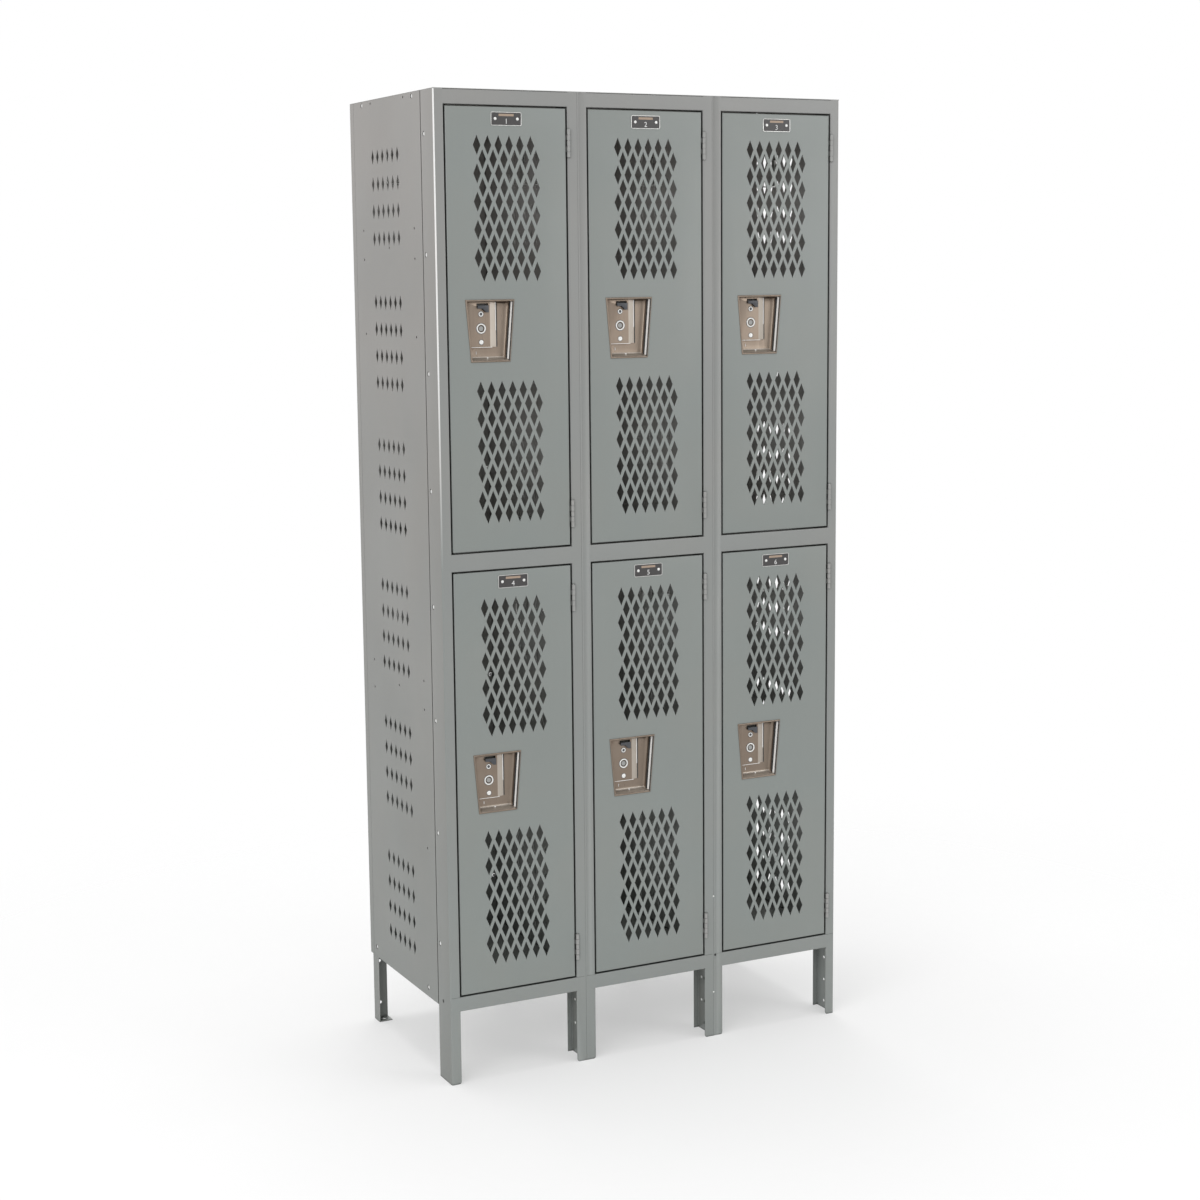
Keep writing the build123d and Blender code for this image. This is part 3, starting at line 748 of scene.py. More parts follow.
def fastener_tree():
    """Puts a domed head on every point, all facing the same way."""
    tree = bpy.data.node_groups.new("fasteners", "GeometryNodeTree")
    given, result = add_inputs(tree, ("Radius", "Float"), ("Height", "Float"),
                               ("Facing", "Vector"), ("Material", "Material"))
    dome = add_node(tree, "GeometryNodeMeshUVSphere", (-900, -200), Segments=18, Rings=9,
                    Radius=1.0)
    size = add_node(tree, "ShaderNodeCombineXYZ", (-900, -450))
    for socket, value in zip(size.inputs, ("Radius", "Radius", "Height")):
        tree.links.new(given[value], socket)
    squeezed = add_node(tree, "GeometryNodeTransform", (-600, -200))
    tree.links.new(dome.outputs["Mesh"], squeezed.inputs["Geometry"])
    tree.links.new(size.outputs[0], squeezed.inputs["Scale"])
    facing = add_node(tree, "FunctionNodeAlignRotationToVector", (-600, -500), axis="Z")
    tree.links.new(given["Facing"], facing.inputs["Vector"])
    spread = add_node(tree, "GeometryNodeInstanceOnPoints", (-200, 0))
    tree.links.new(given["Geometry"], spread.inputs["Points"])
    tree.links.new(squeezed.outputs[0], spread.inputs["Instance"])
    tree.links.new(facing.outputs[0], spread.inputs["Rotation"])
    smooth = add_node(tree, "GeometryNodeSetShadeSmooth", (100, 0))
    tree.links.new(spread.outputs[0], smooth.inputs["Geometry"])
    real = add_node(tree, "GeometryNodeRealizeInstances", (400, 0))
    tree.links.new(smooth.outputs[0], real.inputs[0])
    painted = add_node(tree, "GeometryNodeSetMaterial", (700, 0))
    tree.links.new(real.outputs[0], painted.inputs["Geometry"])
    tree.links.new(given["Material"], painted.inputs["Material"])
    tree.links.new(painted.outputs[0], result[0])
    return tree


def grown(tree_name, mesh, **inputs):
    """The mesh that a Geometry Nodes tree makes from this one, with these named inputs."""
    tree = bpy.data.node_groups[tree_name]
    holder = bpy.data.objects.new("holder", mesh)
    bpy.context.scene.collection.objects.link(holder)
    modifier = holder.modifiers.new("grow", "NODES")
    modifier.node_group = tree
    sockets = {item.name: item.identifier for item in tree.interface.items_tree
               if item.in_out == "INPUT"}
    for name, value in inputs.items():
        modifier[sockets[name.replace("_", " ")]] = value
    graph = bpy.context.evaluated_depsgraph_get()
    result = bpy.data.meshes.new_from_object(holder.evaluated_get(graph), depsgraph=graph)
    holder.modifiers.remove(modifier)
    bpy.data.objects.remove(holder)
    result.materials.clear()
    result.polygons.foreach_set("material_index", [0] * len(result.polygons))
    return result


def loops_mesh(loops):
    """A flat wire mesh of closed loops, for the outline of a sheet and its single holes."""
    def draw(shape):
        for loop in loops:
            corners = [shape.verts.new((u, v, 0.0)) for u, v in loop]
            for first, second in zip(corners, corners[1:] + corners[:1]):
                shape.edges.new((first, second))
    return mesh_from("outline", draw)


def heads_mesh(points, facing, radius, height, material="zinc"):
    """Domed fastener heads at these points, all facing one way."""
    cloud = bpy.data.meshes.new("points")
    cloud.from_pydata([tuple(point) for point in points], [], [])
    return grown("fasteners", cloud, Radius=radius, Height=height, Facing=facing,
                 Material=finishes[material])


FRONT_FACING = Matrix.Rotation(math.radians(90), 4, "X")
SIDE_FACING = Matrix(((0, 0, 1, 0), (1, 0, 0, 0), (0, 1, 0, 0), (0, 0, 0, 1)))


class LOCKERS_OT_materials(bpy.types.Operator):
    """Makes the finishes of the bank and the two Geometry Nodes trees."""
    bl_idname = "lockers.materials"
    bl_label = "Finishes"

    def execute(self, context):
        tints = context.scene.locker_finishes
        # The door, frame and side enamels blend into their floor tones as painted shade.
        finishes["front"] = enamel("door_enamel", tints.front, low=tuple(tints.front_low))
        finishes["frame"] = enamel("frame_enamel", tints.frame, low=tuple(tints.frame_low))
        # Painted light: the side enamel is a lighter, warmer copy of the same grey paint, as if lit
        # from the left.
        finishes["side"] = enamel("side_enamel", tints.side, low=tuple(tints.side_low), gloss=0.42)
        # Painted highlight: lighter enamel for the bevels, as a glint along the edges and bends.
        finishes["edge"] = enamel("edge_highlight_enamel", tints.edge, gloss=0.3)
        # Painted highlight: the near-white corner enamel, fading below into the frame's floor tone.
        finishes["corner"] = enamel("corner_highlight_enamel", tints.corner, low=tuple(tints.frame_low),
                                    gloss=0.3, fade=(1.05, 1.45))
        finishes["cup"] = brushed_steel("brushed_stainless", tints.cup)
        # Painted highlight: the lighter slope steel stands in for the reflection on the slope and the
        # shell's foot.
        finishes["slope"] = brushed_steel("cup_slope", tints.cup_slope, metallic=0.5)
        # Painted highlight: a near-white matt wall in place of the reflection on the cup's right
        # side.
        finishes["bright"] = satin_metal("cup_wall_highlight", tints.cup_bright, 0.0)
        # Painted highlight: a lighter grey for the hinge barrels, which are painted like the frame.
        finishes["hinge"] = enamel("hinge_enamel", tints.hinge, gloss=0.3)
        finishes["bolt"] = satin_metal("bolt_heads", tints.bolt, 0.25)
        finishes["zinc"] = zinc_plating("zinc_plate", tints.zinc)
        finishes["plate"] = dark_enamel("plate_enamel", tints.plate, gloss=0.34)
        finishes["plate_bar"] = dark_enamel("plate_bar", tints.plate_bar, gloss=0.45)
        finishes["marking"] = dark_enamel("numeral_paint", tints.marking, gloss=0.5)
        finishes["handle"] = dark_enamel("handle_enamel", tints.handle, gloss=0.38)
        finishes["rubber"] = moulded_rubber("silencer_rubber", tints.rubber)
        perforated_sheet_tree()
        fastener_tree()
        return {"FINISHED"}


class LOCKERS_OT_stage(bpy.types.Operator):
    """Makes the camera, the lamps, the surroundings and the floor."""
    bl_idname = "lockers.stage"
    bl_label = "Stage"

    def execute(self, context):
        stage = context.scene.locker_stage
        forward = Vector((math.sin(stage.turn) * math.cos(stage.dip),
                          math.cos(stage.turn) * math.cos(stage.dip), -math.sin(stage.dip)))
        level = Vector((math.cos(stage.turn), -math.sin(stage.turn), 0.0))
        above = level.cross(forward)
        right = math.cos(stage.roll) * level + math.sin(stage.roll) * above
        up = right.cross(forward)
        camera_data = bpy.data.cameras.new("camera")
        camera_data.lens = stage.lens
        camera_data.sensor_width = 36.0
        camera_data.shift_y = -0.02
        camera_data.clip_end = 60.0
        camera = bpy.data.objects.new("camera", camera_data)
        context.scene.collection.objects.link(camera)
        place = Matrix((right, up, -forward)).transposed().to_4x4()
        place.translation = Vector((-2.048, -4.0885, 1.6413))
        camera.matrix_world = place
        context.scene.camera = camera
        context.scene.view_settings.view_transform = "Standard"

        lamps = (("key_lamp", (-4.3, -3.3, 3.0), 3.8, stage.key),
                 ("fill_lamp", (3.4, -4.0, 2.4), 2.6, stage.fill),
                 ("overhead_lamp", (-0.1, 0.5, 6.0), 2.6, stage.overhead),
                 ("rear_lamp", (1.8, 4.8, 3.0), 2.6, stage.key * 0.4))
        for name, spot, size, power in lamps:
            data = bpy.data.lights.new(name, "AREA")
            data.size = size
            data.energy = power
            lamp = bpy.data.objects.new(name, data)
            lamp.location = spot
            aim = Vector((0.0, 0.0, 0.9)) - Vector(spot)
            lamp.rotation_euler = aim.to_track_quat("-Z", "Y").to_euler()
            context.scene.collection.objects.link(lamp)
        for door in DOORS:
            low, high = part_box(f"{door}_door")
            for part in (0.22, 0.8):
                data = bpy.data.lights.new(f"{door}_glow", "POINT")
                data.energy = stage.inside
                data.shadow_soft_size = 0.08
                glow = bpy.data.objects.new(f"{door}_glow", data)
                glow.location = ((low.x + high.x) / 2, 0.02, low.z + part * (high.z - low.z))
                glow.visible_camera = False
                context.scene.collection.objects.link(glow)

        world = bpy.data.worlds.new("studio")
        context.scene.world = world
        world.use_nodes = True
        tree = world.node_tree
        tree.nodes.clear()
        output = add_node(tree, "ShaderNodeOutputWorld", (600, 0))
        mix = add_node(tree, "ShaderNodeMixShader", (400, 0))
        dim = add_node(tree, "ShaderNodeBackground", (150, 100), Strength=stage.ambient)
        white = add_node(tree, "ShaderNodeBackground", (150, -100), Strength=1.0)
        dim.inputs["Color"].default_value = (1.0, 1.0, 1.0, 1.0)
        white.inputs["Color"].default_value = (1.0, 1.0, 1.0, 1.0)
        path = add_node(tree, "ShaderNodeLightPath", (-200, 200))
        seen = add_node(tree, "ShaderNodeMath", (0, 300), operation="MAXIMUM")
        seen_through = add_node(tree, "ShaderNodeMath", (200, 300), operation="MAXIMUM")
        tree.links.new(path.outputs["Is Camera Ray"], seen.inputs[0])
        tree.links.new(path.outputs["Is Glossy Ray"], seen.inputs[1])
        tree.links.new(seen.outputs[0], seen_through.inputs[0])
        tree.links.new(path.outputs["Is Transmission Ray"], seen_through.inputs[1])
        tree.links.new(seen_through.outputs[0], mix.inputs["Fac"])
        tree.links.new(dim.outputs[0], mix.inputs[1])
        tree.links.new(white.outputs[0], mix.inputs[2])
        tree.links.new(mix.outputs[0], output.inputs["Surface"])

        floor = bpy.data.objects.new("floor", mesh_from("floor", self.draw_floor))
        context.scene.collection.objects.link(floor)
        floor.data.materials.append(self.floor_paint(stage.floor_white))
        return {"FINISHED"}

    @staticmethod
    def draw_floor(shape):
        """A round disc of floor."""
        rim = [shape.verts.new((x, y, 0.0)) for x, y in circle((0.0, 0.0), 6.0, 64)]
        shape.faces.new(rim)

    @staticmethod
    def floor_paint(white_share):
        """Pale floor that keeps the shadow and fades into the white surroundings."""
        finish = Finish("studio_floor")
        grain = finish.noise(9.0, 3.0, 0.5)
        finish.link(finish.blend(finish.span(grain, 0.0, 0.3), (0.98, 0.98, 0.98, 1.0),
                                 (0.965, 0.965, 0.965, 1.0)), finish.shader.inputs["Base Color"])
        finish.set(Roughness=0.9, Specular_IOR_Level=0.1)
        distance = add_node(finish.tree, "ShaderNodeVectorMath", (0, 400), operation="LENGTH")
        finish.link(finish.coordinates.outputs["Object"], distance.inputs[0])
        fade = finish.span(distance.outputs["Value"], 0.0, 1.0, 0.9, 2.2)
        path = add_node(finish.tree, "ShaderNodeLightPath", (-500, 700))
        seen = add_node(finish.tree, "ShaderNodeMath", (-250, 700), operation="MAXIMUM")
        part = add_node(finish.tree, "ShaderNodeMath", (0, 700), operation="MULTIPLY")
        finish.link(path.outputs["Is Camera Ray"], seen.inputs[0])
        finish.link(path.outputs["Is Glossy Ray"], seen.inputs[1])
        finish.link(seen.outputs[0], part.inputs[0])
        part.inputs[1].default_value = white_share
        plain = add_node(finish.tree, "ShaderNodeEmission", (300, 500), Strength=1.0)
        plain.inputs["Color"].default_value = (1.0, 1.0, 1.0, 1.0)
        lit = add_node(finish.tree, "ShaderNodeMixShader", (500, 500))
        finish.link(part.outputs[0], lit.inputs["Fac"])
        finish.link(finish.shader.outputs["BSDF"], lit.inputs[1])
        finish.link(plain.outputs[0], lit.inputs[2])
        clear = add_node(finish.tree, "ShaderNodeBsdfTransparent", (600, 300))
        mix = add_node(finish.tree, "ShaderNodeMixShader", (760, 200))
        finish.link(fade, mix.inputs["Fac"])
        finish.link(lit.outputs[0], mix.inputs[1])
        finish.link(clear.outputs["BSDF"], mix.inputs[2])
        finish.link(mix.outputs[0], finish.output.inputs["Surface"])
        return finish.material


class LOCKERS_OT_doors(bpy.types.Operator):
    """Makes the six door pans with their diamond grilles."""
    bl_idname = "lockers.doors"
    bl_label = "Doors"

    def execute(self, context):
        sizes = context.scene.locker_doors
        cup = context.scene.locker_cups
        bend = sizes.bend
        outer = ((bend, bend), (door_width - bend, bend), (door_width - bend, door_height - bend),
                 (bend, door_height - bend))
        field_width = (sizes.columns - 0.5) * sizes.column_pitch
        first = ((door_width - field_width) / 2, door_height - sizes.margin
                 - sizes.diamond_height / 2, 0.0)
        field_height = (sizes.rows - 1) * sizes.row_pitch + sizes.diamond_height
        lower_field = door_height - 2 * sizes.margin - field_height
        skin = grown("perforated_sheet", loops_mesh([outer, cup_outline(-cup.rim / 2)]),
                     Columns=sizes.columns, Rows=sizes.rows, Groups=2, First_Hole=first,
                     Column_Pitch=sizes.column_pitch, Row_Pitch=sizes.row_pitch,
                     Group_Pitch=lower_field, Stagger=0.5, Hole_Width=sizes.diamond_width,
                     Hole_Height=sizes.diamond_height, Thickness=sizes.sheet,
                     Material=finishes["front"])
        skin.transform(Matrix.Translation((0.0, sizes.sheet, 0.0)) @ FRONT_FACING)
        shape = bmesh.new()
        shape.from_mesh(skin)
        self.open_edge(shape, bend)
        self.add_rim(shape, sizes)
        bmesh.ops.remove_doubles(shape, verts=shape.verts, dist=2e-6)
        bmesh.ops.recalc_face_normals(shape, faces=shape.faces)
        pan = bpy.data.meshes.new("door_pan")
        shape.to_mesh(pan)
        shape.free()
        pan = cut(pan, self.hook_slots)
        # Here and on the guides, the bevels take the edge enamel: a painted highlight round openings
        # and bends.
        pan = shade(eased(pan, sizes.edge, material=1))
        guides = eased(mesh_from("guides", self.guides), 0.3 * MM, material=1)
        for door in DOORS:
            place = door_corner(door)
            piece(f"{door}_pan", pan, f"door_{door}", ["front", "edge"],
                  [f"{door}_door"], place)
            piece(f"{door}_bar_guides", guides, f"door_{door}", ["front", "edge"],
                  offset=place)
        return {"FINISHED"}

    @staticmethod
    def open_edge(shape, bend):
        """Takes away the walls along the skin's outer edge, where the bends go on."""
        lows = (bend, bend)
        highs = (door_width - bend, door_height - bend)
        walls = []
        for face in shape.faces:
            for axis, pick in ((0, 0), (2, 1)):
                for level in (lows[pick], highs[pick]):
                    if all(abs(vert.co[axis] - level) < 1e-5 for vert in face.verts):
                        walls.append(face)
        bmesh.ops.delete(shape, geom=list(set(walls)), context="FACES_ONLY")

    @staticmethod
    def add_rim(shape, sizes):
        """Bends, returns and rear lips: one profile taken round the four corners."""
        bend, sheet, depth = sizes.bend, sizes.sheet, door_depth
        inner = bend - sheet
        steps = 5
        profile = [(bend - bend * math.sin(angle), bend - bend * math.cos(angle), False)
                   for angle in (math.pi / 2 * step / steps for step in range(steps + 1))]
        profile += [(bend - bend * math.cos(angle), depth - bend + bend * math.sin(angle), False)
                    for angle in (math.pi / 2 * step / steps for step in range(steps + 1))]
        profile += [(0.0, depth, True), (0.0, depth - sheet, True)]
        profile += [(bend - inner * math.sin(angle), depth - bend + inner * math.cos(angle), False)
                    for angle in (math.pi / 2 * step / steps for step in range(steps + 1))]
        profile += [(bend - inner * math.cos(angle), bend - inner * math.sin(angle), False)
                    for angle in (math.pi / 2 * step / steps for step in range(steps + 1))]
        rings = []
        for inset, level, lip in profile:
            left = sizes.latch_lip if lip else inset
            rest = sizes.lip if lip else inset
            corners = ((left, rest), (door_width - rest, rest),
                       (door_width - rest, door_height - rest), (left, door_height - rest))
            rings.append([shape.verts.new((x, level, z)) for x, z in corners])
        for ring, following in zip(rings, rings[1:]):
            for index in range(4):
                after = (index + 1) % 4
                shape.faces.new((ring[index], ring[after], following[after], following[index]))

    @staticmethod
    def hook_slots(shape):
        """Volumes of the slots that the frame's hooks reach through."""
        hook_low, hook_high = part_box("latch_hooks")
        reach = hook_low.x + 16.7 * MM - door_low.x + post_gap()
        for level in hook_levels():
            add_block(shape, (-5 * MM, hook_high.y - face_y - 3.2 * MM, level - 11.7 * MM),
                      (reach, door_depth + 5 * MM, level + 11.7 * MM))

    @staticmethod
    def guides(shape):
        """Two tongues that hold the latch bar against the rear lip."""
        front = bar_low.y - face_y - 2.4 * MM
        for level in (door_height / 2 - 150 * MM, door_height / 2 + 150 * MM):
            add_block(shape, (1.0 * MM, front, level), (11.4 * MM, front + 1.9 * MM, level + 20 * MM))


def post_gap():
    """From the hooks' root to the door's left edge, where the hooks start on the jamb."""
    return 0.0


def hook_levels():
    """Heights of the two frame hooks above a door's bottom edge."""
    return (door_height / 2 - 300 * MM, door_height / 2 + 300 * MM)


def cup_outline(grow):
    """The cup's trapezium in the door's frame, grown by this much."""
    rim = 4.0 * MM
    left = cup_low.x - door_low.x + rim - grow
    right = cup_high.x - door_low.x - rim + grow
    bottom = cup_low.z - door_low.z + rim + 2.5 * MM - grow
    top = cup_high.z - door_low.z - rim + grow
    taper = 10.5 * MM
    return ((left + taper, bottom), (right - taper, bottom), (right, top), (left, top))


class LOCKERS_OT_frames(bpy.types.Operator):
    """Makes the face frames with their posts, rails, seams and leg holes."""
    bl_idname = "lockers.frames"
    bl_label = "Face frames"

    def execute(self, context):
        sizes = context.scene.locker_frames
        for unit in UNITS:
            place = unit_corner(unit)
            frame_mesh = self.unit_frame(sizes, unit)
            nodes = [f"{unit}_face_frame"]
            if unit == UNITS[0]:
                nodes.append("side_posts")
            piece(f"{unit}_front_frame", frame_mesh, "cabinet",
                  ["frame", "edge", "side", "corner"], nodes, place)
        return {"FINISHED"}

    def unit_frame(self, sizes, unit):
        """One unit's frame in the unit's own frame."""
        sheet = sizes.sheet
        half = sheet / 2
        depth = post_high.y - face_y
        side = post_low.x - frame_low.x
        strike = shelf_low.y - face_y - half
        top = frame_high.z - 1.2 * MM
        turn = post_face - half
        behind = [(side + sizes.flange, depth - half), (side + half, depth - half),
                  (side + half, half)]
        leg_path = behind + [(post_face, half)]
        post_path = behind + [(turn, half), (turn, strike), (post_face + sizes.strike, strike)]
        leg = folded(leg_path, sheet, sizes.bend)
        post = folded(post_path, sheet, [sizes.bend, sizes.bend, sizes.tight_bend,
                                         sizes.tight_bend])
        corner = ((side, 0.0), (side + sizes.bend + sheet, 0.0),
                  (side + sizes.bend + sheet, sheet), (side + sheet, sheet),
                  (side + sheet, sizes.bend + sheet), (side, sizes.bend + sheet))
        outer_left = unit == UNITS[0]
        outer_right = unit == UNITS[-1]
        meshes = []
        for mirrored, outer in ((False, outer_left), (True, outer_right)):
            spans = [(leg, 0.0, body_low), (post, body_low - 1 * MM, top)]
            if not outer:
                spans.append((corner, 0.0, top))
            for outline, low, high in spans:
                points = [(unit_width - x if mirrored else x, y) for x, y in outline]
                meshes.append(mesh_from("post", lambda shape: add_prism(shape, points, "Z", low,
                                                                        high)))
        meshes.append(mesh_from("rails", lambda shape: self.rails(shape, sizes)))
        whole = fused(meshes)
        seam = body_low + sizes.bottom_rail
        whole = cut(whole, lambda shape: self.seams(shape, sizes, seam),
                    lambda shape: self.web_holes(shape, sizes, side, outer_left),
                    lambda shape: self.web_holes(shape, sizes, unit_width - side, outer_right),
                    self.hinge_notches, self.foot_corners)
        # The bevels take the edge enamel, a painted highlight along the frame's edges.
        whole = eased(whole, 0.25 * MM, material=1)
        reach = sizes.bend + half + 0.2 * MM
        for face in whole.polygons:
            middle = face.center
            on_side = min(middle.x, unit_width - middle.x) < side + sheet
            near_bend = (min(middle.x, unit_width - middle.x) < side + reach
                         and middle.y < reach)
            outer = outer_left if middle.x < unit_width / 2 else outer_right
            # Painted highlight: the outer post's front left bend takes the near-white corner enamel.
            if near_bend and outer and 0.30 < -face.normal.x < 0.94:
                face.material_index = 3
            # The side-facing webs take the side enamel: the copy of the grey paint that is painted
            # lighter, as if lit from the left.
            elif on_side and abs(face.normal.x) > 0.9:
                face.material_index = 2
        return shade(whole)

    @staticmethod
    def seams(shape, sizes, level):
        """Grooves where the posts' upper parts meet the bottom rail's level."""
        for left in (sizes.bend, unit_width - post_face):
            add_block(shape, (left, -1 * MM, level - sizes.seam / 2),
                      (left + post_face - sizes.bend, 0.35 * MM, level + sizes.seam / 2))

    @staticmethod
    def foot_corners(shape):
        """Cuts off the inner lower corner of each foot's face."""
        for edge, inward in ((post_face, -1), (unit_width - post_face, 1)):
            corner = ((edge - inward * 1 * MM, -1 * MM), (edge - inward * 1 * MM, 6.5 * MM),
                      (edge, 5.0 * MM), (edge + inward * 1.5 * MM, 1.5 * MM),
                      (edge + inward * 5.0 * MM, -1 * MM))
            add_prism(shape, corner, "Y", -1 * MM, 3 * MM)

    @staticmethod
    def web_holes(shape, sizes, web_x, outer):
        """Holes through a post's web: for bolts where it is an outer side, else in the legs."""
        reach = 3 * MM
        on_left = web_x < unit_width / 2
        if outer:
            for level in bolt_levels():
                add_prism(shape, circle((bolt_line(), level), 5.0 * MM), "X", web_x - reach,
                          web_x + reach)
            add_prism(shape, circle(PLUG_PLACE, 3.8 * MM, 12), "X", web_x - reach, web_x + reach)
        if not (outer and on_left):
            for level in (17 * MM, 66 * MM, 117 * MM):
                spot = (52 * MM, level) if on_left else (38 * MM, level)
                add_prism(shape, circle(spot, sizes.leg_hole * (1.5 if on_left else 1.0)), "X",
                          web_x - reach, web_x + reach)

    @staticmethod
    def hinge_notches(shape):
        """Room for the hinge barrels in the right post's face and jamb."""
        for low, high in hinge_spans():
            add_block(shape, (unit_width - post_face - 5 * MM, -5 * MM, low - 0.7 * MM),
                      (unit_width - 14.9 * MM, 3.3 * MM, high + 0.7 * MM))

    @staticmethod
    def rails(shape, sizes):
        """Top, middle and bottom rails, each a channel between the posts."""
        half = sizes.sheet / 2
        deep = shelf_low.y - face_y
        middle = door_low.z - door_gap - sizes.middle_rail
        spans = ((body_low, body_low + sizes.bottom_rail), (middle, middle + sizes.middle_rail),
                 (bank_high.z - sizes.top_rail, bank_high.z - 1.2 * MM))
        for low, high in spans:
            path = ((deep, low + half), (half, low + half), (half, high - half),
                    (deep, high - half))
            reach = 3 * sizes.tight_bend
            add_prism(shape, folded(path, sizes.sheet, sizes.tight_bend), "X",
                      post_face - reach, unit_width - post_face + reach)
        lip = ((0.0, bank_high.z - 1.35 * MM), (sizes.sheet, bank_high.z - 1.35 * MM),
               (sizes.sheet, bank_high.z - 0.5 * MM), (1.0 * MM, bank_high.z),
               (0.4 * MM, bank_high.z), (0.0, bank_high.z - 0.4 * MM))
        add_prism(shape, lip, "X", 0.1 * MM, unit_width - 0.1 * MM)


PLUG_PLACE = (38.0 * MM, 167.0 * MM)


def bolt_levels():
    """Heights of the bolts along an outer post's web."""
    pitch = bpy.context.scene.locker_hardware.bolt_pitch
    return [bank_high.z - 84.0 * MM - step * pitch for step in range(8)]


def bolt_line():
    """From the face to the line of bolts on the web."""
    return 49.0 * MM


def hinge_spans():
    """Lowest and highest point of every hinge of a unit, above the floor."""
    spans = []
    for tier in TIERS:
        bottom = door_corner(f"left_{tier}").z
        for start in (36.0 * MM, door_height - 94.0 * MM):
            spans.append((bottom + start, bottom + start + 54.0 * MM))
    return spans


class LOCKERS_OT_sides(bpy.types.Operator):
    """Makes the end panels and partitions with their vent slots."""
    bl_idname = "lockers.sides"
    bl_label = "Side sheets"

    def execute(self, context):
        sizes = context.scene.locker_sides
        end = self.sheet(sizes, True)
        inner = self.sheet(sizes, False)
        flipped = Matrix.Translation((2 * bank_high.x, 0.0, 0.0)) @ Matrix.Scale(-1, 4, (1, 0, 0))
        for node, mesh in (("left_end_panel", end), ("right_end_panel", end),
                           ("left_partition", inner), ("middle_partition", inner)):
            low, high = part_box(node)
            copy = mesh.copy()
            if node == "right_end_panel":
                copy.transform(Matrix.Scale(-1, 4, (1, 0, 0)))
                copy.flip_normals()
                low = Vector((high.x, low.y, low.z))
            piece(f"{node}_sheet", copy, "cabinet", ["side", "edge"], [node],
                  Vector((low.x, face_y, 0.0)))
        return {"FINISHED"}

    def sheet(self, sizes, is_end):
        """A side sheet in the unit's frame, with its outer face at X = 0."""
        front = panel_low.y - face_y
        rear = panel_high.y - face_y
        outer = ((front, body_low), (rear, body_low), (rear, body_high), (front, body_high))
        centre = (front + rear) / 2
        first = (centre - (sizes.columns - 1) * sizes.column_pitch / 2,
                 bank_high.z - sizes.first_row, 0.0)
        loops = [outer]
        if is_end:
            loops += [circle(place, radius, 12) for place, radius in side_holes()]
        skin = grown("perforated_sheet", loops_mesh(loops), Columns=sizes.columns,
                     Rows=sizes.rows, Groups=sizes.groups, First_Hole=first,
                     Column_Pitch=sizes.column_pitch, Row_Pitch=sizes.row_pitch,
                     Group_Pitch=sizes.group_pitch, Stagger=0.0, Hole_Width=sizes.slot_width,
                     Hole_Height=sizes.slot_height, Thickness=sizes.sheet,
                     Material=finishes["side"])
        skin.transform(SIDE_FACING)
        whole = bmesh.new()
        whole.from_mesh(skin)
        for level in (front, rear - sizes.sheet):
            add_block(whole, (sizes.sheet, level, body_low),
                      (sizes.flange, level + sizes.sheet, body_high))
        joined = bpy.data.meshes.new("side_sheet")
        whole.to_mesh(joined)
        whole.free()
        if is_end:
            strip = back_high.y - face_y - sizes.rear_strip

            def groove(shape):
                add_block(shape, (-1 * MM, strip - sizes.groove / 2, body_low - 1 * MM),
                          (0.45 * MM, strip + sizes.groove / 2, body_high + 1 * MM))
            joined = cut(joined, groove)
        # The bevels take the edge enamel, a painted highlight round the slots and edges.
        return shade(eased(joined, 0.3 * MM, material=1))


def side_holes():
    """Places and radii of the single holes and bolt seats of an end panel."""
    top = bank_high.z
    holes = [((107 * MM, level * MM), 2.6 * MM) for level in (1719, 1660, 1507, 817, 758, 470)]
    holes += [((387 * MM, level * MM), 2.6 * MM) for level in (1719, 1660, 1507, 817, 758)]
    holes += [((244 * MM, level * MM), 2.6 * MM) for level in (1683, 785)]
    holes += [((y * MM, top - 7.5 * MM), 2.6 * MM) for y in (153, 333)]
    holes += [(place, 5.0 * MM) for place in side_bolts()]
    return holes


def side_bolts():
    """Places of the bolts in an end panel: under the top and above the bottom edge."""
    top = bank_high.z
    return [(108 * MM, top - 8.5 * MM), (383 * MM, top - 8.5 * MM), (117 * MM, 172 * MM),
            (414 * MM, 174 * MM)]


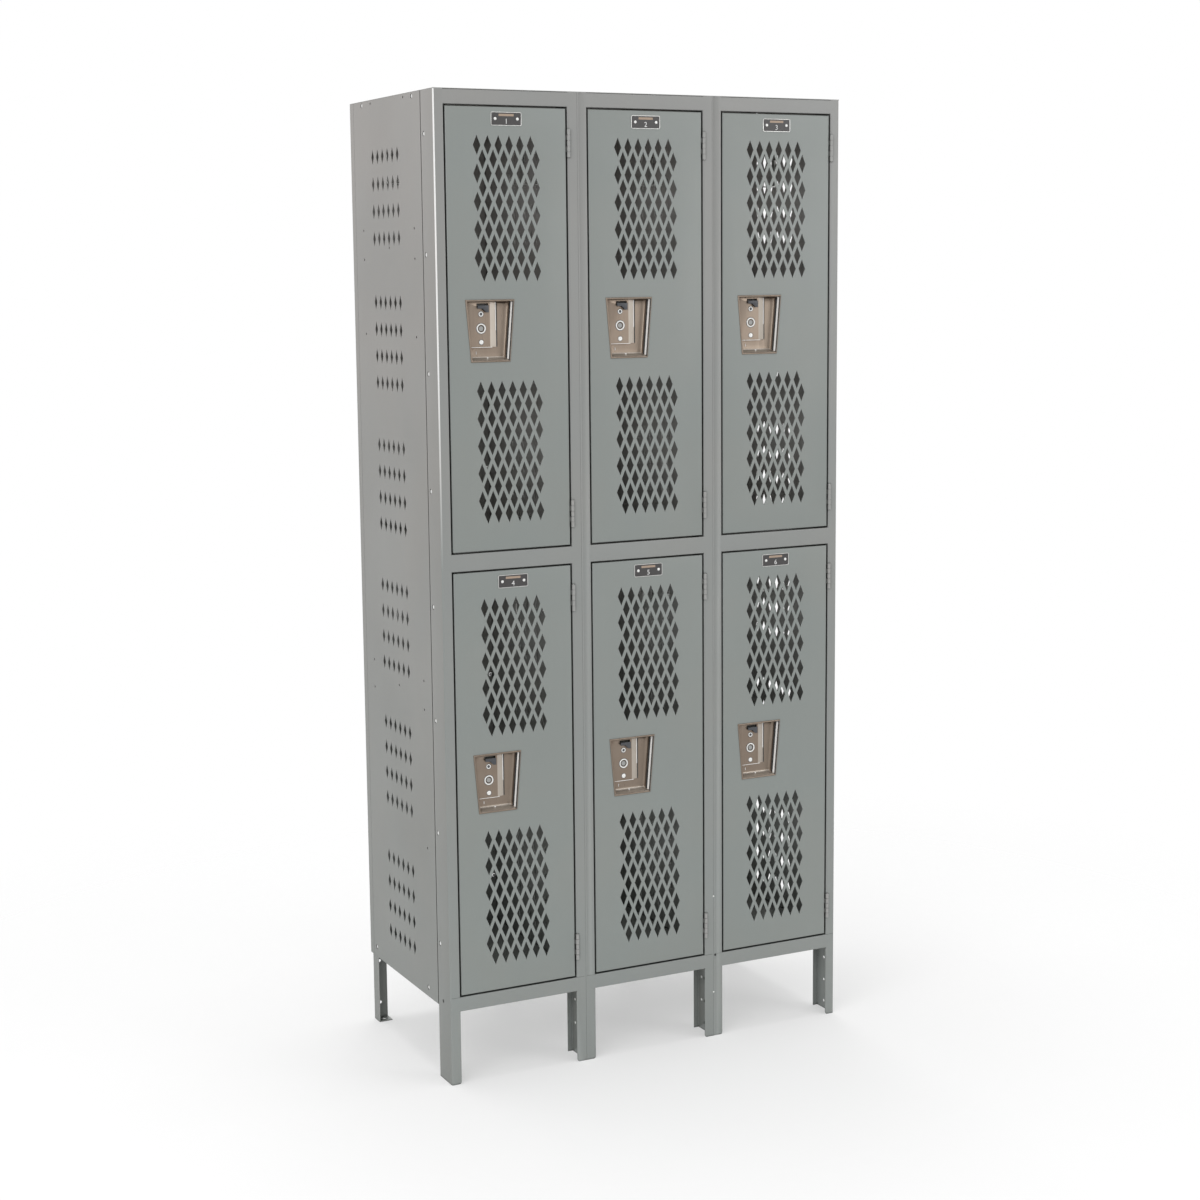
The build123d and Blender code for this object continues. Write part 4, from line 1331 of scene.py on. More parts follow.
class LOCKERS_OT_cups(bpy.types.Operator):
    """Makes the pull cups with their lock plates."""
    bl_idname = "lockers.cups"
    bl_label = "Pull cups"

    def execute(self, context):
        sizes = context.scene.locker_cups
        left, top = cup_outline(0.0)[3]
        _, bottom = cup_outline(0.0)[0]
        shell = self.shell(sizes, left, bottom, top)
        plate = self.lock_plate(sizes, left, top)
        slot = lambda shape: add_prism(shape, handle_slot(left, top, 0.0), "Y", 3 * MM, 30 * MM)
        room = lambda shape: self.handle_room(shape, left, top)
        shell = shade(cut(shell, slot, room), 50.0)
        # Painted highlight: the shell's up-facing foot takes the lighter slope steel, as if lit from
        # above.
        for face in shell.polygons:
            if face.center.z < bottom + 12 * MM and face.normal.z > 0.3 and face.center.y > 0.0:
                face.material_index = 1
        holes = [lambda shape: add_prism(shape, circle((left + sizes.hole_column, level), radius),
                                         "Y", 4 * MM, 16 * MM)
                 for level, radius in ((top - 28 * MM, 2.9 * MM), (top - 56 * MM, 6.4 * MM))]
        plate = shade(eased(cut(plate, slot, *holes), 0.2 * MM), 40.0)
        # Painted highlight: the plate's slope takes the lighter slope steel in place of its
        # reflection.
        for face in plate.polygons:
            if 0.2 < face.normal.x < 0.9 and face.normal.y < 0:
                face.material_index = 1
        rings, outlines = self.rings(sizes, left, top)
        walls = self.right_wall(sizes, left, bottom, top)
        lines = self.dark_lines(sizes, left, bottom, top)
        for door in DOORS:
            place = door_corner(door)
            body = f"door_{door}"
            piece(f"{door}_cup_shell", shell, body, ["cup", "slope"],
                  [f"{door}_pull_cup"], place)
            piece(f"{door}_lock_plate", plate, body, ["cup", "slope"], offset=place)
            piece(f"{door}_cup_wall", walls, body, ["bright"], offset=place)
            piece(f"{door}_lock_rings", rings, body, ["bolt", "hinge"],
                  offset=place)
            piece(f"{door}_ring_seats", outlines, body, ["handle"], offset=place)
            # Painted shadow: the dark strips take the black rubber.
            piece(f"{door}_cup_seals", lines, body, ["rubber"], offset=place)
        return {"FINISHED"}

    @staticmethod
    def handle_room(shape, left, top):
        """Room in the shell for the lift handle's lip and arm, at rest and lifted."""
        add_block(shape, (left + 27.0 * MM, 3.0 * MM, top - 14.0 * MM),
                  (left + 52.6 * MM, 30.0 * MM, top - 0.8 * MM))
        add_block(shape, (left - 2.0 * MM, 12.6 * MM, top - 34.6 * MM),
                  (left + 14.0 * MM, 15.6 * MM, top - 7.6 * MM))

    @staticmethod
    def leaning(left, top, bottom, drop):
        """How far the cup's slanted right side has moved in at this drop below its top."""
        outline = cup_outline(0.0)
        return outline[2][0] - (outline[2][0] - outline[1][0]) * drop / (top - bottom)

    def slanted_bar(self, shape, left, bottom, top, insets, levels, ends):
        """A bar along the right side: insets from the side, levels in depth, ends from the top."""
        rings = []
        for drop in ends:
            edge = self.leaning(left, top, bottom, drop)
            rings.append([shape.verts.new((edge - inset, level, top - drop))
                          for inset, level in zip(insets, levels)])
        faces = [shape.faces.new(ring) for ring in rings]
        for index in range(len(insets)):
            after = (index + 1) % len(insets)
            faces.append(shape.faces.new((rings[0][index], rings[0][after], rings[1][after],
                                          rings[1][index])))
        bmesh.ops.recalc_face_normals(shape, faces=faces)

    def right_wall(self, sizes, left, bottom, top):
        """A near-white wall at the cup's right side, painted as the highlight of its rolled wall, the
        lip of the lock plate and two marks.
        """
        sheet = 0.5 * MM

        def build(shape):
            self.slanted_bar(shape, left, bottom, top,
                             (3.95 * MM, 4.75 * MM, 5.1 * MM, 4.5 * MM, 3.7 * MM),
                             (0.3 * MM, 3.8 * MM, 5.4 * MM, 5.4 * MM, 0.4 * MM),
                             (4.6 * MM, top - bottom - 5.5 * MM))
            slope_end = left + sizes.plate_end + sizes.slope
            add_block(shape, (slope_end - 1.5 * MM, sizes.depth - 4.9 * MM, top - 60 * MM),
                      (slope_end - 0.2 * MM, sizes.depth - 3.6 * MM, top - 5 * MM))
            ledge = top - sizes.ledge
            add_block(shape, (left + 14 * MM, sizes.plate_depth - sheet, ledge - 0.9 * MM),
                      (left + sizes.plate_end + 4 * MM, sizes.plate_depth + sheet, ledge))
            add_block(shape, (left + 27.9 * MM, 16.4 * MM, top - 106.0 * MM),
                      (left + 29.2 * MM, 17.3 * MM, top - 100.5 * MM))
            add_prism(shape, circle((left + 51.4 * MM, bottom + 8 * MM), 1.4 * MM, 12), "Y",
                      12.6 * MM, 16.4 * MM)
        return shade(mesh_from("cup_wall_highlight", build), 40.0)

    def dark_lines(self, sizes, left, bottom, top):
        """Painted shadow: dark strips beside the slope, at the foot of the right wall and outside the
        right rim.
        """
        slope_end = left + sizes.plate_end + sizes.slope

        def build(shape):
            add_block(shape, (slope_end - 0.2 * MM, 13.4 * MM, top - sizes.ledge),
                      (slope_end + 2.7 * MM, 17.2 * MM, top - 5 * MM))
            self.slanted_bar(shape, left, bottom, top,
                             (5.35 * MM, 5.5 * MM, 6.1 * MM, 5.0 * MM, 4.8 * MM),
                             (6.0 * MM, 7.5 * MM, 10.8 * MM, 10.8 * MM, 6.2 * MM),
                             (5.0 * MM, top - bottom - 7.0 * MM))
            self.slanted_bar(shape, left, bottom, top,
                             (1.9 * MM, 2.5 * MM, 3.1 * MM, 3.7 * MM, 3.4 * MM, 2.0 * MM),
                             (-1.62 * MM, -1.55 * MM, -1.15 * MM, -0.1 * MM, 0.1 * MM,
                              -1.2 * MM), (2.0 * MM, top - bottom - 2.0 * MM))
        return shade(mesh_from("cup_shadow_strips", build), 40.0)

    @staticmethod
    def shell(sizes, left, bottom, top):
        """The pressed shell: a grid of points whose depth follows the cup's form."""
        outline = cup_outline(0.0)
        width = outline[2][0] - left
        taper = outline[0][0] - left
        rim, bead, depth = sizes.rim, sizes.bead, sizes.depth
        edge_steps = [0.0, 0.25, 0.6, 1.1, 1.7, 2.4, 3.0, 3.5, 3.9, 4.2, 4.5, 4.9, 5.6, 6.6, 8.0]
        profile = {0.0: 0.0, 0.25: -0.7, 0.6: -1.1, 1.1: -1.4, 1.7: -1.5, 2.4: -1.4, 3.0: -1.0,
                   3.5: -0.3, 3.9: 0.9, 4.2: 2.6, 4.5: 5.0, 4.9: 8.2, 5.6: 11.6, 6.6: 14.6,
                   8.0: 16.4}
        insets = [step * MM for step in edge_steps]
        inner_x = [16, 24, 32, 40, 48, 56, 62, 66, 70, 74, 78]
        inner_z = [14, 22, 32, 42, 52, 62, 72, 82, 90, 95, 99, 102, 105, 107, 109, 111]
        rows = [top - inset for inset in insets] + [top - value * MM for value in inner_z]
        rows += [bottom + inset for inset in insets[::-1]]
        profile_depths = [profile[step] * MM for step in edge_steps]

        def wall_depth(distance):
            """Depth of the pressed wall at this distance from the cup's edge."""
            for (near, start), (far, finish) in zip(zip(insets, profile_depths),
                                                    zip(insets[1:], profile_depths[1:])):
                if distance <= far:
                    part = (distance - near) / (far - near)
                    return start + (finish - start) * max(0.0, part)
            return profile_depths[-1] + (depth - profile_depths[-1]) * min(
                1.0, (distance - insets[-1]) / (6 * MM))

        def build(shape):
            grid = []
            for z in rows:
                drop = (top - z) / (top - bottom)
                row_left = left + taper * drop
                row_right = left + width - taper * drop
                xs = [row_left + inset for inset in insets]
                middle_left, middle_right = xs[-1], row_right - insets[-1]
                xs += [middle_left + (middle_right - middle_left) * (value - 12) / 70
                       for value in inner_x]
                xs += [row_right - inset for inset in insets[::-1]]
                line = []
                for x in xs:
                    rising = z - bottom
                    if rising > 3.5 * MM:
                        rising = 3.5 * MM + (rising - 3.5 * MM) * 0.8
                    near = min(x - row_left, row_right - x, top - z, rising)
                    line.append(shape.verts.new((x, wall_depth(near), z)))
                grid.append(line)
            for upper, lower in zip(grid, grid[1:]):
                for index in range(len(upper) - 1):
                    shape.faces.new((upper[index], lower[index], lower[index + 1],
                                     upper[index + 1]))
        mesh = mesh_from("cup_shell", build)
        return baked(mesh, ("SOLIDIFY", {"thickness": sizes.sheet, "offset": -1.0}))

    @staticmethod
    def lock_plate(sizes, left, top):
        """The folded plate in the cup's left part, with a slope down beside the finger pocket."""
        sheet = 1.1 * MM
        half = sheet / 2
        taper = 10.5 / 124.0
        deep = sizes.plate_depth + half
        slope_start = left + sizes.plate_end
        slope_end = slope_start + sizes.slope
        path = ((left + 2.4 * MM, deep), (slope_start, deep),
                (slope_end, sizes.depth - 3.4 * MM))
        outline = folded(path, sheet, 2.0 * MM)

        def build(shape):
            add_prism(shape, outline, "Z", top - sizes.ledge, top - 3.6 * MM)
            for vert in shape.verts:
                if vert.co.x < left + 10 * MM:
                    vert.co.x += taper * (top - vert.co.z)
            flange = ((left + 12 * MM, deep - half), (slope_start - 1 * MM, deep - half),
                      (slope_start - 1 * MM, sizes.depth - 1 * MM),
                      (left + 12 * MM, sizes.depth - 1 * MM))
            add_prism(shape, flange, "Z", top - sizes.ledge, top - sizes.ledge + sheet)
        return mesh_from("lock_plate", build)

    @staticmethod
    def rings(sizes, left, top):
        """Ring, lock ring with its disc, domed rivet, and the dark seats under them, with a dark disc
        as painted shade inside the small ring.
        """
        x = left + sizes.hole_column
        face = sizes.plate_depth
        spots = ((top - 28 * MM, 2.8 * MM, sizes.small_hole, 1.0 * MM),
                 (top - 56 * MM, 7.2 * MM, sizes.lock_hole, 1.4 * MM))
        rivet = top - 82.5 * MM

        def build(shape):
            for level, bore, radius, height in spots:
                add_ring(shape, (x, level), bore, radius, face + 0.1 * MM, face - height)
            add_prism(shape, circle((x, top - 56 * MM), 5.0 * MM, 24), "Y", face + 0.2 * MM,
                      face + 0.8 * MM)
            add_ring(shape, (x, rivet), 0.0, sizes.small_hole - 0.3 * MM, face + 0.1 * MM,
                     face - 1.2 * MM)

        def build_seats(shape):
            for level, bore, radius, height in spots:
                add_ring(shape, (x, level), bore + 0.4 * MM, radius + 0.9 * MM, face + 0.1 * MM,
                         face - 0.25 * MM)
            add_ring(shape, (x, rivet), 1.0 * MM, sizes.small_hole + 0.6 * MM, face + 0.1 * MM,
                     face - 0.25 * MM)
            # Painted shade: a dark disc in the small ring, where the hole's shaded inside would show.
            add_prism(shape, circle((x, top - 28 * MM), 2.7 * MM, 16), "Y",
                      face - 0.6 * MM, face + 0.5 * MM)
        mesh = mesh_from("lock_rings", build)
        for polygon in mesh.polygons:
            if math.hypot(polygon.center.x - x, polygon.center.z - top + 56 * MM) < 5.3 * MM:
                polygon.material_index = 1
        return (shade(mesh, 50.0),
                shade(mesh_from("ring_seats", build_seats), 50.0))


def add_ring(shape, centre, bore, radius, back, front, steps=28):
    """A flat ring with a rounded front, about an axis along Y."""
    if bore == 0.0:
        bore = 0.02 * MM
    middle = (bore + radius) / 2
    half = (radius - bore) / 2
    profile = [(bore, back)]
    profile += [(middle - half * math.cos(angle), back + (front - back) * math.sin(angle) ** 0.6)
                for angle in (math.pi * part / 6 for part in range(1, 6))]
    profile += [(radius, back)]
    rings = []
    for step in range(steps):
        angle = math.tau * step / steps
        rings.append([shape.verts.new((centre[0] + distance * math.cos(angle), level,
                                       centre[1] + distance * math.sin(angle)))
                      for distance, level in profile])
    faces = []
    for ring, following in zip(rings, rings[1:] + rings[:1]):
        for index in range(len(profile)):
            after = (index + 1) % len(profile)
            faces.append(shape.faces.new((ring[index], ring[after], following[after],
                                          following[index])))
    bmesh.ops.recalc_face_normals(shape, faces=faces)


def handle_slot(left, top, inset):
    """The opening for the lift handle: a rectangle with its lower left corner cut off."""
    points = ((27.5, 7.2), (52.0, 7.2), (52.0, 21.5), (46.0, 21.5), (38.0, 14.2), (27.5, 13.6))
    centre = Vector((left + 40 * MM, top - 13 * MM))
    outline = []
    for x, drop in points:
        place = Vector((left + x * MM, top - drop * MM))
        outline.append(tuple(place + (centre - place).normalized() * inset))
    return outline


class LOCKERS_OT_handles(bpy.types.Operator):
    """Makes the lift handles, which ride on the latches."""
    bl_idname = "lockers.handles"
    bl_label = "Lift handles"

    def execute(self, context):
        left, top = cup_outline(0.0)[3]
        sheet = 2.0 * MM
        back = bar_low.y - face_y

        def build(shape):
            lip = handle_slot(left, top + 0.0, 0.6 * MM)
            lowered = [(x, z - 3.6 * MM) for x, z in lip]
            add_prism(shape, lowered, "Y", 3.4 * MM, 3.4 * MM + sheet)
            tongue_low = top - 21.0 * MM - 3.6 * MM + 1.2 * MM
            add_block(shape, (left + 46.4 * MM, 3.4 * MM + sheet, tongue_low + 3.6 * MM),
                      (left + 51.2 * MM, back - sheet, tongue_low + 3.6 * MM + sheet))
            add_block(shape, (3.0 * MM, back - sheet, top - 34 * MM),
                      (left + 52 * MM, back, top - 18.4 * MM))
        mesh = shade(eased(mesh_from("lift_handle", build), 0.4 * MM, 2))
        for door in DOORS:
            piece(f"{door}_handle", mesh, f"latch_{door}", ["handle"],
                  [f"{door}_lift_handle"], door_corner(door))
        return {"FINISHED"}


class LOCKERS_OT_plates(bpy.types.Operator):
    """Makes the number plates with their borders, rivets, bars and plain numbers."""
    bl_idname = "lockers.plates"
    bl_label = "Number plates"

    def execute(self, context):
        hardware = context.scene.locker_hardware
        low = plate_low - door_low
        high = plate_high - door_low
        centre = ((low.x + high.x) / 2, (low.z + high.z) / 2)
        half = ((high.x - low.x) / 2, (high.z - low.z) / 2)
        border = self.border(centre, half)
        field = self.field(centre, half)
        bar = self.bar(centre)
        rivets = heads_mesh([(centre[0] + side * 23.5 * MM, -1.0 * MM, centre[1])
                             for side in (-1, 1)],
                            (0.0, -1.0, 0.0), hardware.rivet_radius, 1.1 * MM, "bolt")
        ordered = [f"{unit}_{tier}" for tier in reversed(TIERS) for unit in UNITS]
        for number, door in enumerate(ordered, start=1):
            place = door_corner(door)
            body = f"door_{door}"
            piece(f"{door}_plate_border", border, body, ["zinc"],
                  [f"{door}_number_plate"], place)
            piece(f"{door}_plate_field", field, body, ["plate"], offset=place)
            piece(f"{door}_plate_bar", bar, body, ["plate_bar"], offset=place)
            piece(f"{door}_plate_rivets", rivets, body, ["bolt"], offset=place)
            piece(f"{door}_plate_number", self.numeral(str(number), centre), body,
                  ["marking"], offset=place)
        return {"FINISHED"}

    @staticmethod
    def rounded(centre, half, radius, steps=6):
        """A rectangle with rounded corners, given by its centre and half sizes."""
        points = []
        for quarter, (sx, sz) in enumerate(((1, 1), (-1, 1), (-1, -1), (1, -1))):
            middle = (centre[0] + sx * (half[0] - radius), centre[1] + sz * (half[1] - radius))
            for step in range(steps + 1):
                angle = math.pi / 2 * (quarter + step / steps)
                points.append((middle[0] + radius * math.cos(angle),
                               middle[1] + radius * math.sin(angle)))
        return points

    def border(self, centre, half):
        """The aluminium plate with its raised edge."""
        def build(shape):
            add_prism(shape, self.rounded(centre, half, 3.2 * MM), "Y", -0.8 * MM, 0.0)
        mesh = mesh_from("border", build)
        inner = (half[0] - 1.1 * MM, half[1] - 1.1 * MM)
        mesh = cut(mesh, lambda shape: add_prism(shape, self.rounded(centre, inner, 2.0 * MM),
                                                 "Y", -1.0 * MM, -0.45 * MM))
        return shade(eased(mesh, 0.15 * MM), 40.0)

    def field(self, centre, half):
        """The black enamel inside the border."""
        inner = (half[0] - 1.2 * MM, half[1] - 1.2 * MM)
        return mesh_from("field", lambda shape: add_prism(
            shape, self.rounded(centre, inner, 1.9 * MM), "Y", -0.62 * MM, -0.3 * MM))

    def bar(self, centre):
        """A plain bar in the upper half of the plate."""
        spot = (centre[0], centre[1] + 7.2 * MM)
        return mesh_from("bar", lambda shape: add_prism(
            shape, self.rounded(spot, (16.0 * MM, 2.2 * MM), 0.8 * MM), "Y", -0.70 * MM,
            -0.5 * MM))

    @staticmethod
    def numeral(text, centre):
        """A plain number, as a thin solid."""
        curve = bpy.data.curves.new("numeral", "FONT")
        curve.body = text
        curve.size = 14.0 * MM
        curve.align_x = "CENTER"
        curve.align_y = "CENTER"
        curve.extrude = 0.08 * MM
        curve.resolution_u = 4
        holder = bpy.data.objects.new("numeral", curve)
        bpy.context.scene.collection.objects.link(holder)
        graph = bpy.context.evaluated_depsgraph_get()
        mesh = bpy.data.meshes.new_from_object(holder.evaluated_get(graph), depsgraph=graph)
        bpy.data.objects.remove(holder)
        mesh.transform(Matrix.Translation((centre[0], -0.66 * MM, centre[1] - 5.0 * MM))
                       @ FRONT_FACING)
        return mesh


class LOCKERS_OT_hinges(bpy.types.Operator):
    """Makes the hinges, with knuckles that alternate between door and frame."""
    bl_idname = "lockers.hinges"
    bl_label = "Hinges"

    def execute(self, context):
        sizes = context.scene.locker_hardware
        on_frame, on_door, pins = [], {}, []
        leaf_low, leaf_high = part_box("left_upper_hinge_leaves")
        for door in DOORS:
            joint = next(item for item in frame["joints"] if item["name"] == f"{door}_door_swing")
            axis = Vector(joint["pos_m"])
            bottom = door_corner(door)
            for start in (36.0 * MM, door_height - 94.0 * MM):
                low = bottom.z + start
                on_frame.append((axis, low))
                on_door.setdefault(door, []).append((axis, low))
        frame_mesh = mesh_from("frame_knuckles", lambda shape: [
            self.hinge_side(shape, sizes, axis, low, True) for axis, low in on_frame])
        piece("frame_hinge_knuckles", shade(frame_mesh, 40.0), "cabinet",
              ["hinge"], ["frame_hinge_leaves"])
        pin_mesh = mesh_from("pins", lambda shape: [
            add_turned(shape, axis, [(0.0, low - 0.5 * MM), (1.3 * MM, low - 0.3 * MM),
                                     (1.5 * MM, low + 0.4 * MM), (1.5 * MM, low + 53.6 * MM),
                                     (1.3 * MM, low + 54.3 * MM), (0.0, low + 54.5 * MM)])
            for axis, low in on_frame])
        piece("pins_of_hinges", shade(pin_mesh, 50.0), "cabinet", ["zinc"],
              ["hinge_pins"])
        for door, places in on_door.items():
            mesh = mesh_from("door_knuckles", lambda shape: [
                self.hinge_side(shape, sizes, axis, low, False) for axis, low in places])
            piece(f"{door}_hinge_knuckles", shade(mesh, 40.0), f"door_{door}",
                  ["hinge"], [f"{door}_hinge_leaves"])
        return {"FINISHED"}

    @staticmethod
    def hinge_side(shape, sizes, axis, low, is_frame):
        """Knuckles and leaf of one side of a hinge."""
        radius = 3.5 * MM
        bore = 1.7 * MM
        tall = (54.0 * MM - (sizes.knuckles - 1) * sizes.knuckle_gap) / sizes.knuckles
        gap_left = axis.x - 5.2 * MM
        plate = (gap_left + 1.85 * MM, gap_left + 2.95 * MM) if is_frame else (
            gap_left + 0.05 * MM, gap_left + 1.15 * MM)
        add_block(shape, (plate[0], face_y + 3.4 * MM, low), (plate[1], face_y + 18.0 * MM,
                                                             low + 54.0 * MM))
        for index in range(sizes.knuckles):
            if (index % 2 == 0) != is_frame:
                continue
            start = low + index * (tall + sizes.knuckle_gap)
            soft = 0.35 * MM
            add_tube(shape, axis, [(bore, start), (radius - soft, start), (radius, start + soft),
                                   (radius, start + tall - soft), (radius - soft, start + tall),
                                   (bore, start + tall)])
            add_block(shape, (plate[0], face_y + 1.9 * MM, start),
                      (plate[1], face_y + 3.5 * MM, start + tall))
            add_block(shape, (min(plate[0], axis.x - 1.5 * MM), face_y + 1.2 * MM, start + soft),
                      (axis.x, face_y + 2.3 * MM, start + tall - soft))


def add_turned(shape, axis, profile, steps=20):
    """A turned solid about a vertical axis, whose profile starts and ends on the axis."""
    rings = []
    for radius, level in profile:
        if radius == 0.0:
            rings.append([shape.verts.new((axis.x, axis.y, level))])
        else:
            rings.append([shape.verts.new((x, y, level))
                          for x, y in circle((axis.x, axis.y), radius, steps)])
    faces = []
    for ring, following in zip(rings, rings[1:]):
        for index in range(steps):
            after = (index + 1) % steps
            if len(ring) == 1:
                faces.append(shape.faces.new((ring[0], following[index], following[after])))
            elif len(following) == 1:
                faces.append(shape.faces.new((ring[index], ring[after], following[0])))
            else:
                faces.append(shape.faces.new((ring[index], ring[after], following[after],
                                              following[index])))
    bmesh.ops.recalc_face_normals(shape, faces=faces)


def add_tube(shape, axis, profile, steps=24):
    """A turned ring about a vertical axis, whose profile is closed from its end to its start."""
    rings = [[shape.verts.new((x, y, level)) for x, y in circle((axis.x, axis.y), radius, steps)]
             for radius, level in profile]
    faces = []
    for ring, following in zip(rings, rings[1:] + rings[:1]):
        for index in range(steps):
            after = (index + 1) % steps
            faces.append(shape.faces.new((ring[index], ring[after], following[after],
                                          following[index])))
    bmesh.ops.recalc_face_normals(shape, faces=faces)


class LOCKERS_OT_sheets(bpy.types.Operator):
    """Makes shelves, bottoms, tops, backs and rear legs from welded copies of the CAD sheets."""
    bl_idname = "lockers.sheets"
    bl_label = "Body sheets"

    def execute(self, context):
        for unit in UNITS:
            for kind in ("tier_shelf", "bottom_pan"):
                self.dress(f"{unit}_{kind}", "body_paint", ["side", "edge"])
        self.dress("top_panels", "body_paint", ["side", "edge"])
        self.dress("rear_legs", "body_paint", ["side", "edge"], self.leg_holes)
        self.dress("back_panels", "body_paint", ["side", "edge"], self.back_holes)
        return {"FINISHED"}

    @staticmethod
    def dress(node, slot, materials, *cuts):
        """Replaces a node by a welded copy with eased edges."""
        # The bevels take the edge enamel, a painted highlight along the sheet's edges.
        mesh = cut(eased(merged_copy(node), 0.3 * MM, material=1), *cuts)
        piece(f"{node}_dressed", shade(mesh), "cabinet", materials, [node])

    @staticmethod
    def leg_holes(shape):
        """Holes through the rear flange of every rear leg."""
        legs_low, legs_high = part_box("rear_legs")
        lefts = [unit_corner(unit).x for unit in UNITS]
        centres = [left + 17.0 * MM for left in lefts] + [bank_high.x - 17.0 * MM]
        for centre in centres:
            for level in (35 * MM, 130 * MM):
                add_prism(shape, circle((centre, level), 3.4 * MM), "Y", legs_high.y - 6 * MM,
                          legs_high.y + 6 * MM)

    @staticmethod
    def back_holes(shape):
        """Seats of the rivets in the back panels."""
        for place in back_rivets():
            add_prism(shape, circle(place, 4.0 * MM, 12), "Y", bank_high.y - 6 * MM,
                      bank_high.y + 6 * MM)


def back_rivets():
    """Places of the rivets that hold the back panels, across and up."""
    places = []
    for unit in UNITS:
        left = unit_corner(unit).x
        for x in (left + 7.5 * MM, left + unit_width - 7.5 * MM):
            places += [(x, bank_high.z - 84.0 * MM - step * 230.3 * MM) for step in range(8)]
        for level in (bank_high.z - 12 * MM, body_low + 16 * MM, shelf_high.z - 9 * MM):
            places += [(left + unit_width * part, level) for part in (0.3, 0.7)]
    return places


class LOCKERS_OT_fasteners(bpy.types.Operator):
    """Makes the bolts and rivets of the sides and the back."""
    bl_idname = "lockers.fasteners"
    bl_label = "Bolts and rivets"

    def execute(self, context):
        sizes = context.scene.locker_hardware
        sink = sizes.bolt_height + 0.1 * MM
        web = [(bolt_line(), level) for level in bolt_levels()]
        for side, x, facing in (("left", bank_low.x + sink, (-1.0, 0.0, 0.0)),
                                ("right", bank_high.x - sink, (1.0, 0.0, 0.0))):
            points = [(x, face_y + y, z) for y, z in web + side_bolts()]
            heads = heads_mesh(points, facing, sizes.bolt_radius, sizes.bolt_height, "bolt")
            piece(f"{side}_side_bolts", heads, "cabinet", ["bolt"])
            shift = Vector((x + math.copysign(0.6 * MM, x), face_y, 0.0))
            plug = mesh_from("plug", lambda shape: add_prism(
                shape, circle(PLUG_PLACE, 3.8 * MM, 16), "X", -0.5 * MM, 0.5 * MM))
            piece(f"{side}_side_plug", eased(plug, 0.2 * MM), "cabinet",
                  ["rubber"], offset=shift)
        web_x = post_low.x - frame_low.x + 1.3 * MM
        spots = [(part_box(f"{unit}_face_frame")[1].x - web_x, face_y + 50 * MM, level)
                 for unit in UNITS[:-1] for level in (66 * MM, 117 * MM)]
        heads = heads_mesh(spots, (-1.0, 0.0, 0.0), 2.9 * MM, 1.2 * MM, "bolt")
        piece("leg_rivets", heads, "cabinet", ["bolt"])
        seam_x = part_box("right_face_frame")[0].x
        heads = heads_mesh([(seam_x, face_y, level) for level in (98 * MM, 310 * MM)],
                           (0.0, -1.0, 0.0), 1.7 * MM, 0.8 * MM, "bolt")
        piece("seam_rivets", heads, "cabinet", ["bolt"])
        plug = mesh_from("plug", lambda shape: add_prism(
            shape, circle((seam_x + 4 * MM, 180 * MM), 2.4 * MM, 16), "Y", face_y - 0.3 * MM,
            face_y + 0.6 * MM))
        piece("seam_plug", plug, "cabinet", ["rubber"])
        points = [(x, bank_high.y - sink, z) for x, z in back_rivets()]
        heads = heads_mesh(points, (0.0, 1.0, 0.0), 3.4 * MM, sizes.bolt_height, "bolt")
        piece("back_rivets", heads, "cabinet", ["bolt"])
        return {"FINISHED"}


class LOCKERS_OT_latches(bpy.types.Operator):
    """Makes latch bars, frame hooks and silencers with eased edges."""
    bl_idname = "lockers.latches"
    bl_label = "Latch gear"

    def execute(self, context):
        for door in DOORS:
            mesh = shade(eased(merged_copy(f"{door}_latch_bar"), 0.4 * MM, 2))
            piece(f"{door}_bar", mesh, f"latch_{door}", ["zinc"],
                  [f"{door}_latch_bar"])
        hooks = merged_copy("latch_hooks")
        for vert in hooks.vertices:
            vert.co.y = max(vert.co.y, face_y + 8.0 * MM)
        piece("frame_hooks", shade(eased(hooks, 0.5 * MM, 2)), "cabinet", ["zinc"],
              ["latch_hooks"])
        pads = shade(eased(merged_copy("rubber_silencers"), 0.4 * MM, 3))
        piece("silencer_pads", pads, "cabinet", ["rubber"],
              ["rubber_silencers"])
        return {"FINISHED"}


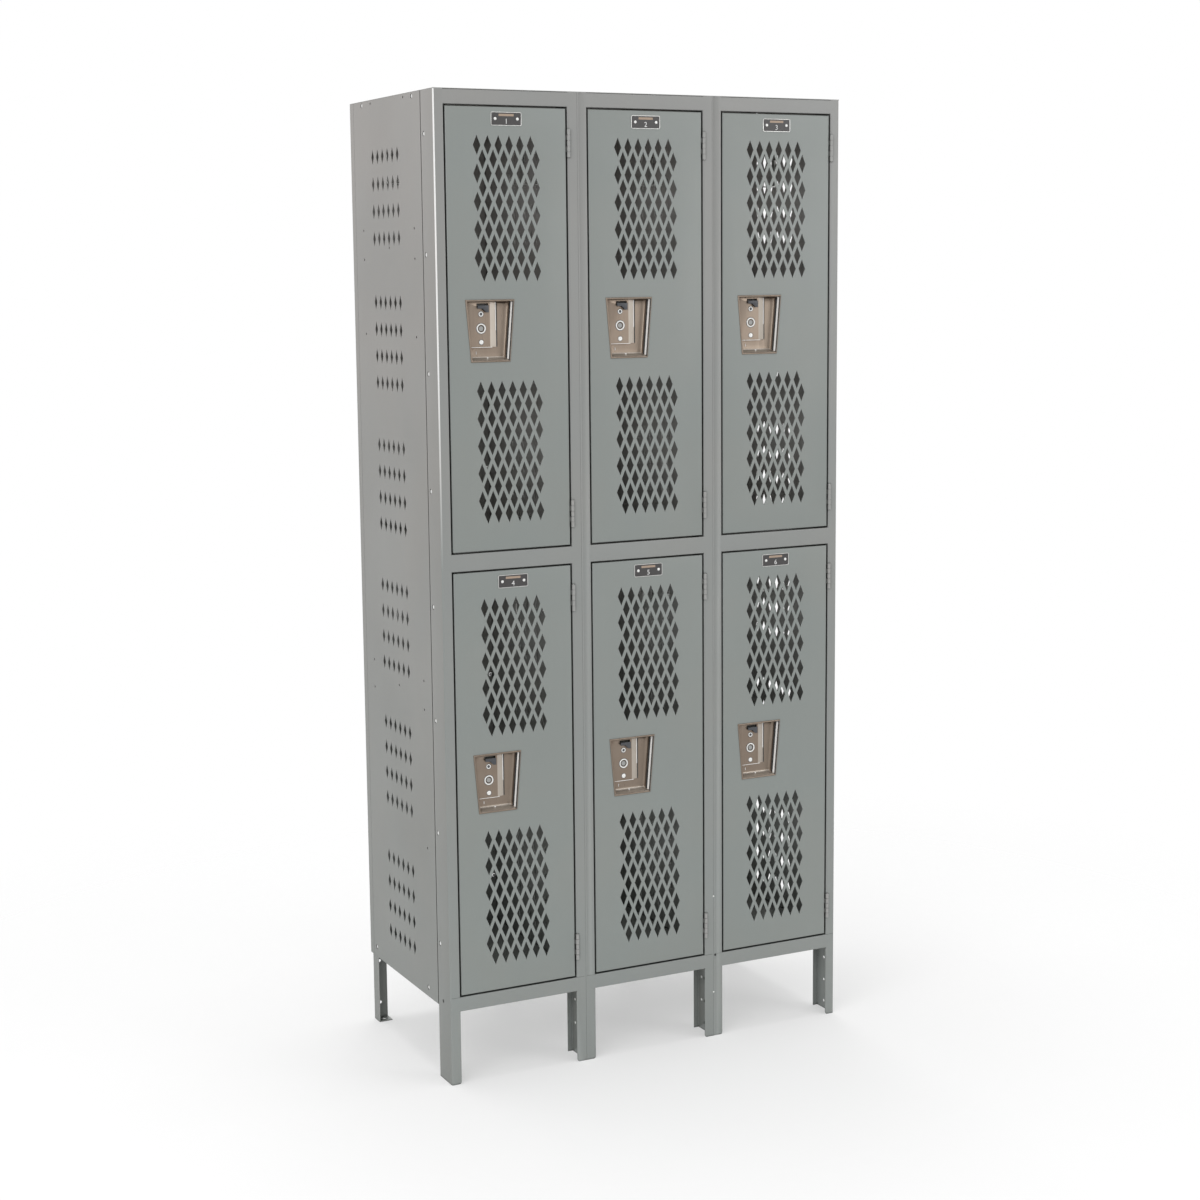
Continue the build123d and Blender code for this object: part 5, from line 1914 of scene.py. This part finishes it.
class LOCKERS_OT_coat_hooks(bpy.types.Operator):
    """Makes the coat hooks inside the compartments."""
    bl_idname = "lockers.coat_hooks"
    bl_label = "Coat hooks"

    def execute(self, context):
        for node in ("wall_hooks", "ceiling_hooks"):
            mesh = shade(eased(merged_copy(node), 1.0 * MM, 3), 60.0)
            piece(f"{node}_rounded", mesh, "cabinet", ["zinc"], [node])
        return {"FINISHED"}


OPERATORS = (LOCKERS_OT_materials, LOCKERS_OT_stage, LOCKERS_OT_doors, LOCKERS_OT_frames,
             LOCKERS_OT_sides, LOCKERS_OT_cups, LOCKERS_OT_handles, LOCKERS_OT_plates,
             LOCKERS_OT_hinges, LOCKERS_OT_sheets, LOCKERS_OT_fasteners, LOCKERS_OT_latches,
             LOCKERS_OT_coat_hooks)
GROUPS = {"locker_finishes": LockerFinishes, "locker_doors": LockerDoorSizes,
          "locker_sides": LockerSideSizes, "locker_frames": LockerFrameSizes,
          "locker_cups": LockerCupSizes, "locker_hardware": LockerHardwareSizes,
          "locker_stage": LockerStageSettings}


class LOCKERS_PT_panel(bpy.types.Panel):
    """Lists what the add-on makes."""
    bl_idname = "LOCKERS_PT_panel"
    bl_label = "Locker bank"
    bl_space_type = "VIEW_3D"
    bl_region_type = "UI"
    bl_category = "Lockers"

    def draw(self, context):
        for operator in OPERATORS:
            self.layout.operator(operator.bl_idname)
        for name, group in GROUPS.items():
            box = self.layout.box()
            box.label(text=name.replace("_", " "))
            for field in group.__annotations__:
                box.prop(getattr(context.scene, name), field)


def register():
    """Registers the settings, the operators and the panel."""
    for name, group in GROUPS.items():
        bpy.utils.register_class(group)
        setattr(bpy.types.Scene, name, bpy.props.PointerProperty(type=group))
    for operator in OPERATORS:
        bpy.utils.register_class(operator)
    bpy.utils.register_class(LOCKERS_PT_panel)


def unregister():
    """Takes everything back in the opposite order."""
    bpy.utils.unregister_class(LOCKERS_PT_panel)
    for operator in reversed(OPERATORS):
        bpy.utils.unregister_class(operator)
    for name, group in reversed(GROUPS.items()):
        delattr(bpy.types.Scene, name)
        bpy.utils.unregister_class(group)


def main():
    """Makes the whole bank."""
    register()
    for operator in OPERATORS:
        namespace, action = operator.bl_idname.split(".")
        getattr(getattr(bpy.ops, namespace), action)()


if __name__ == "__main__":
    main()
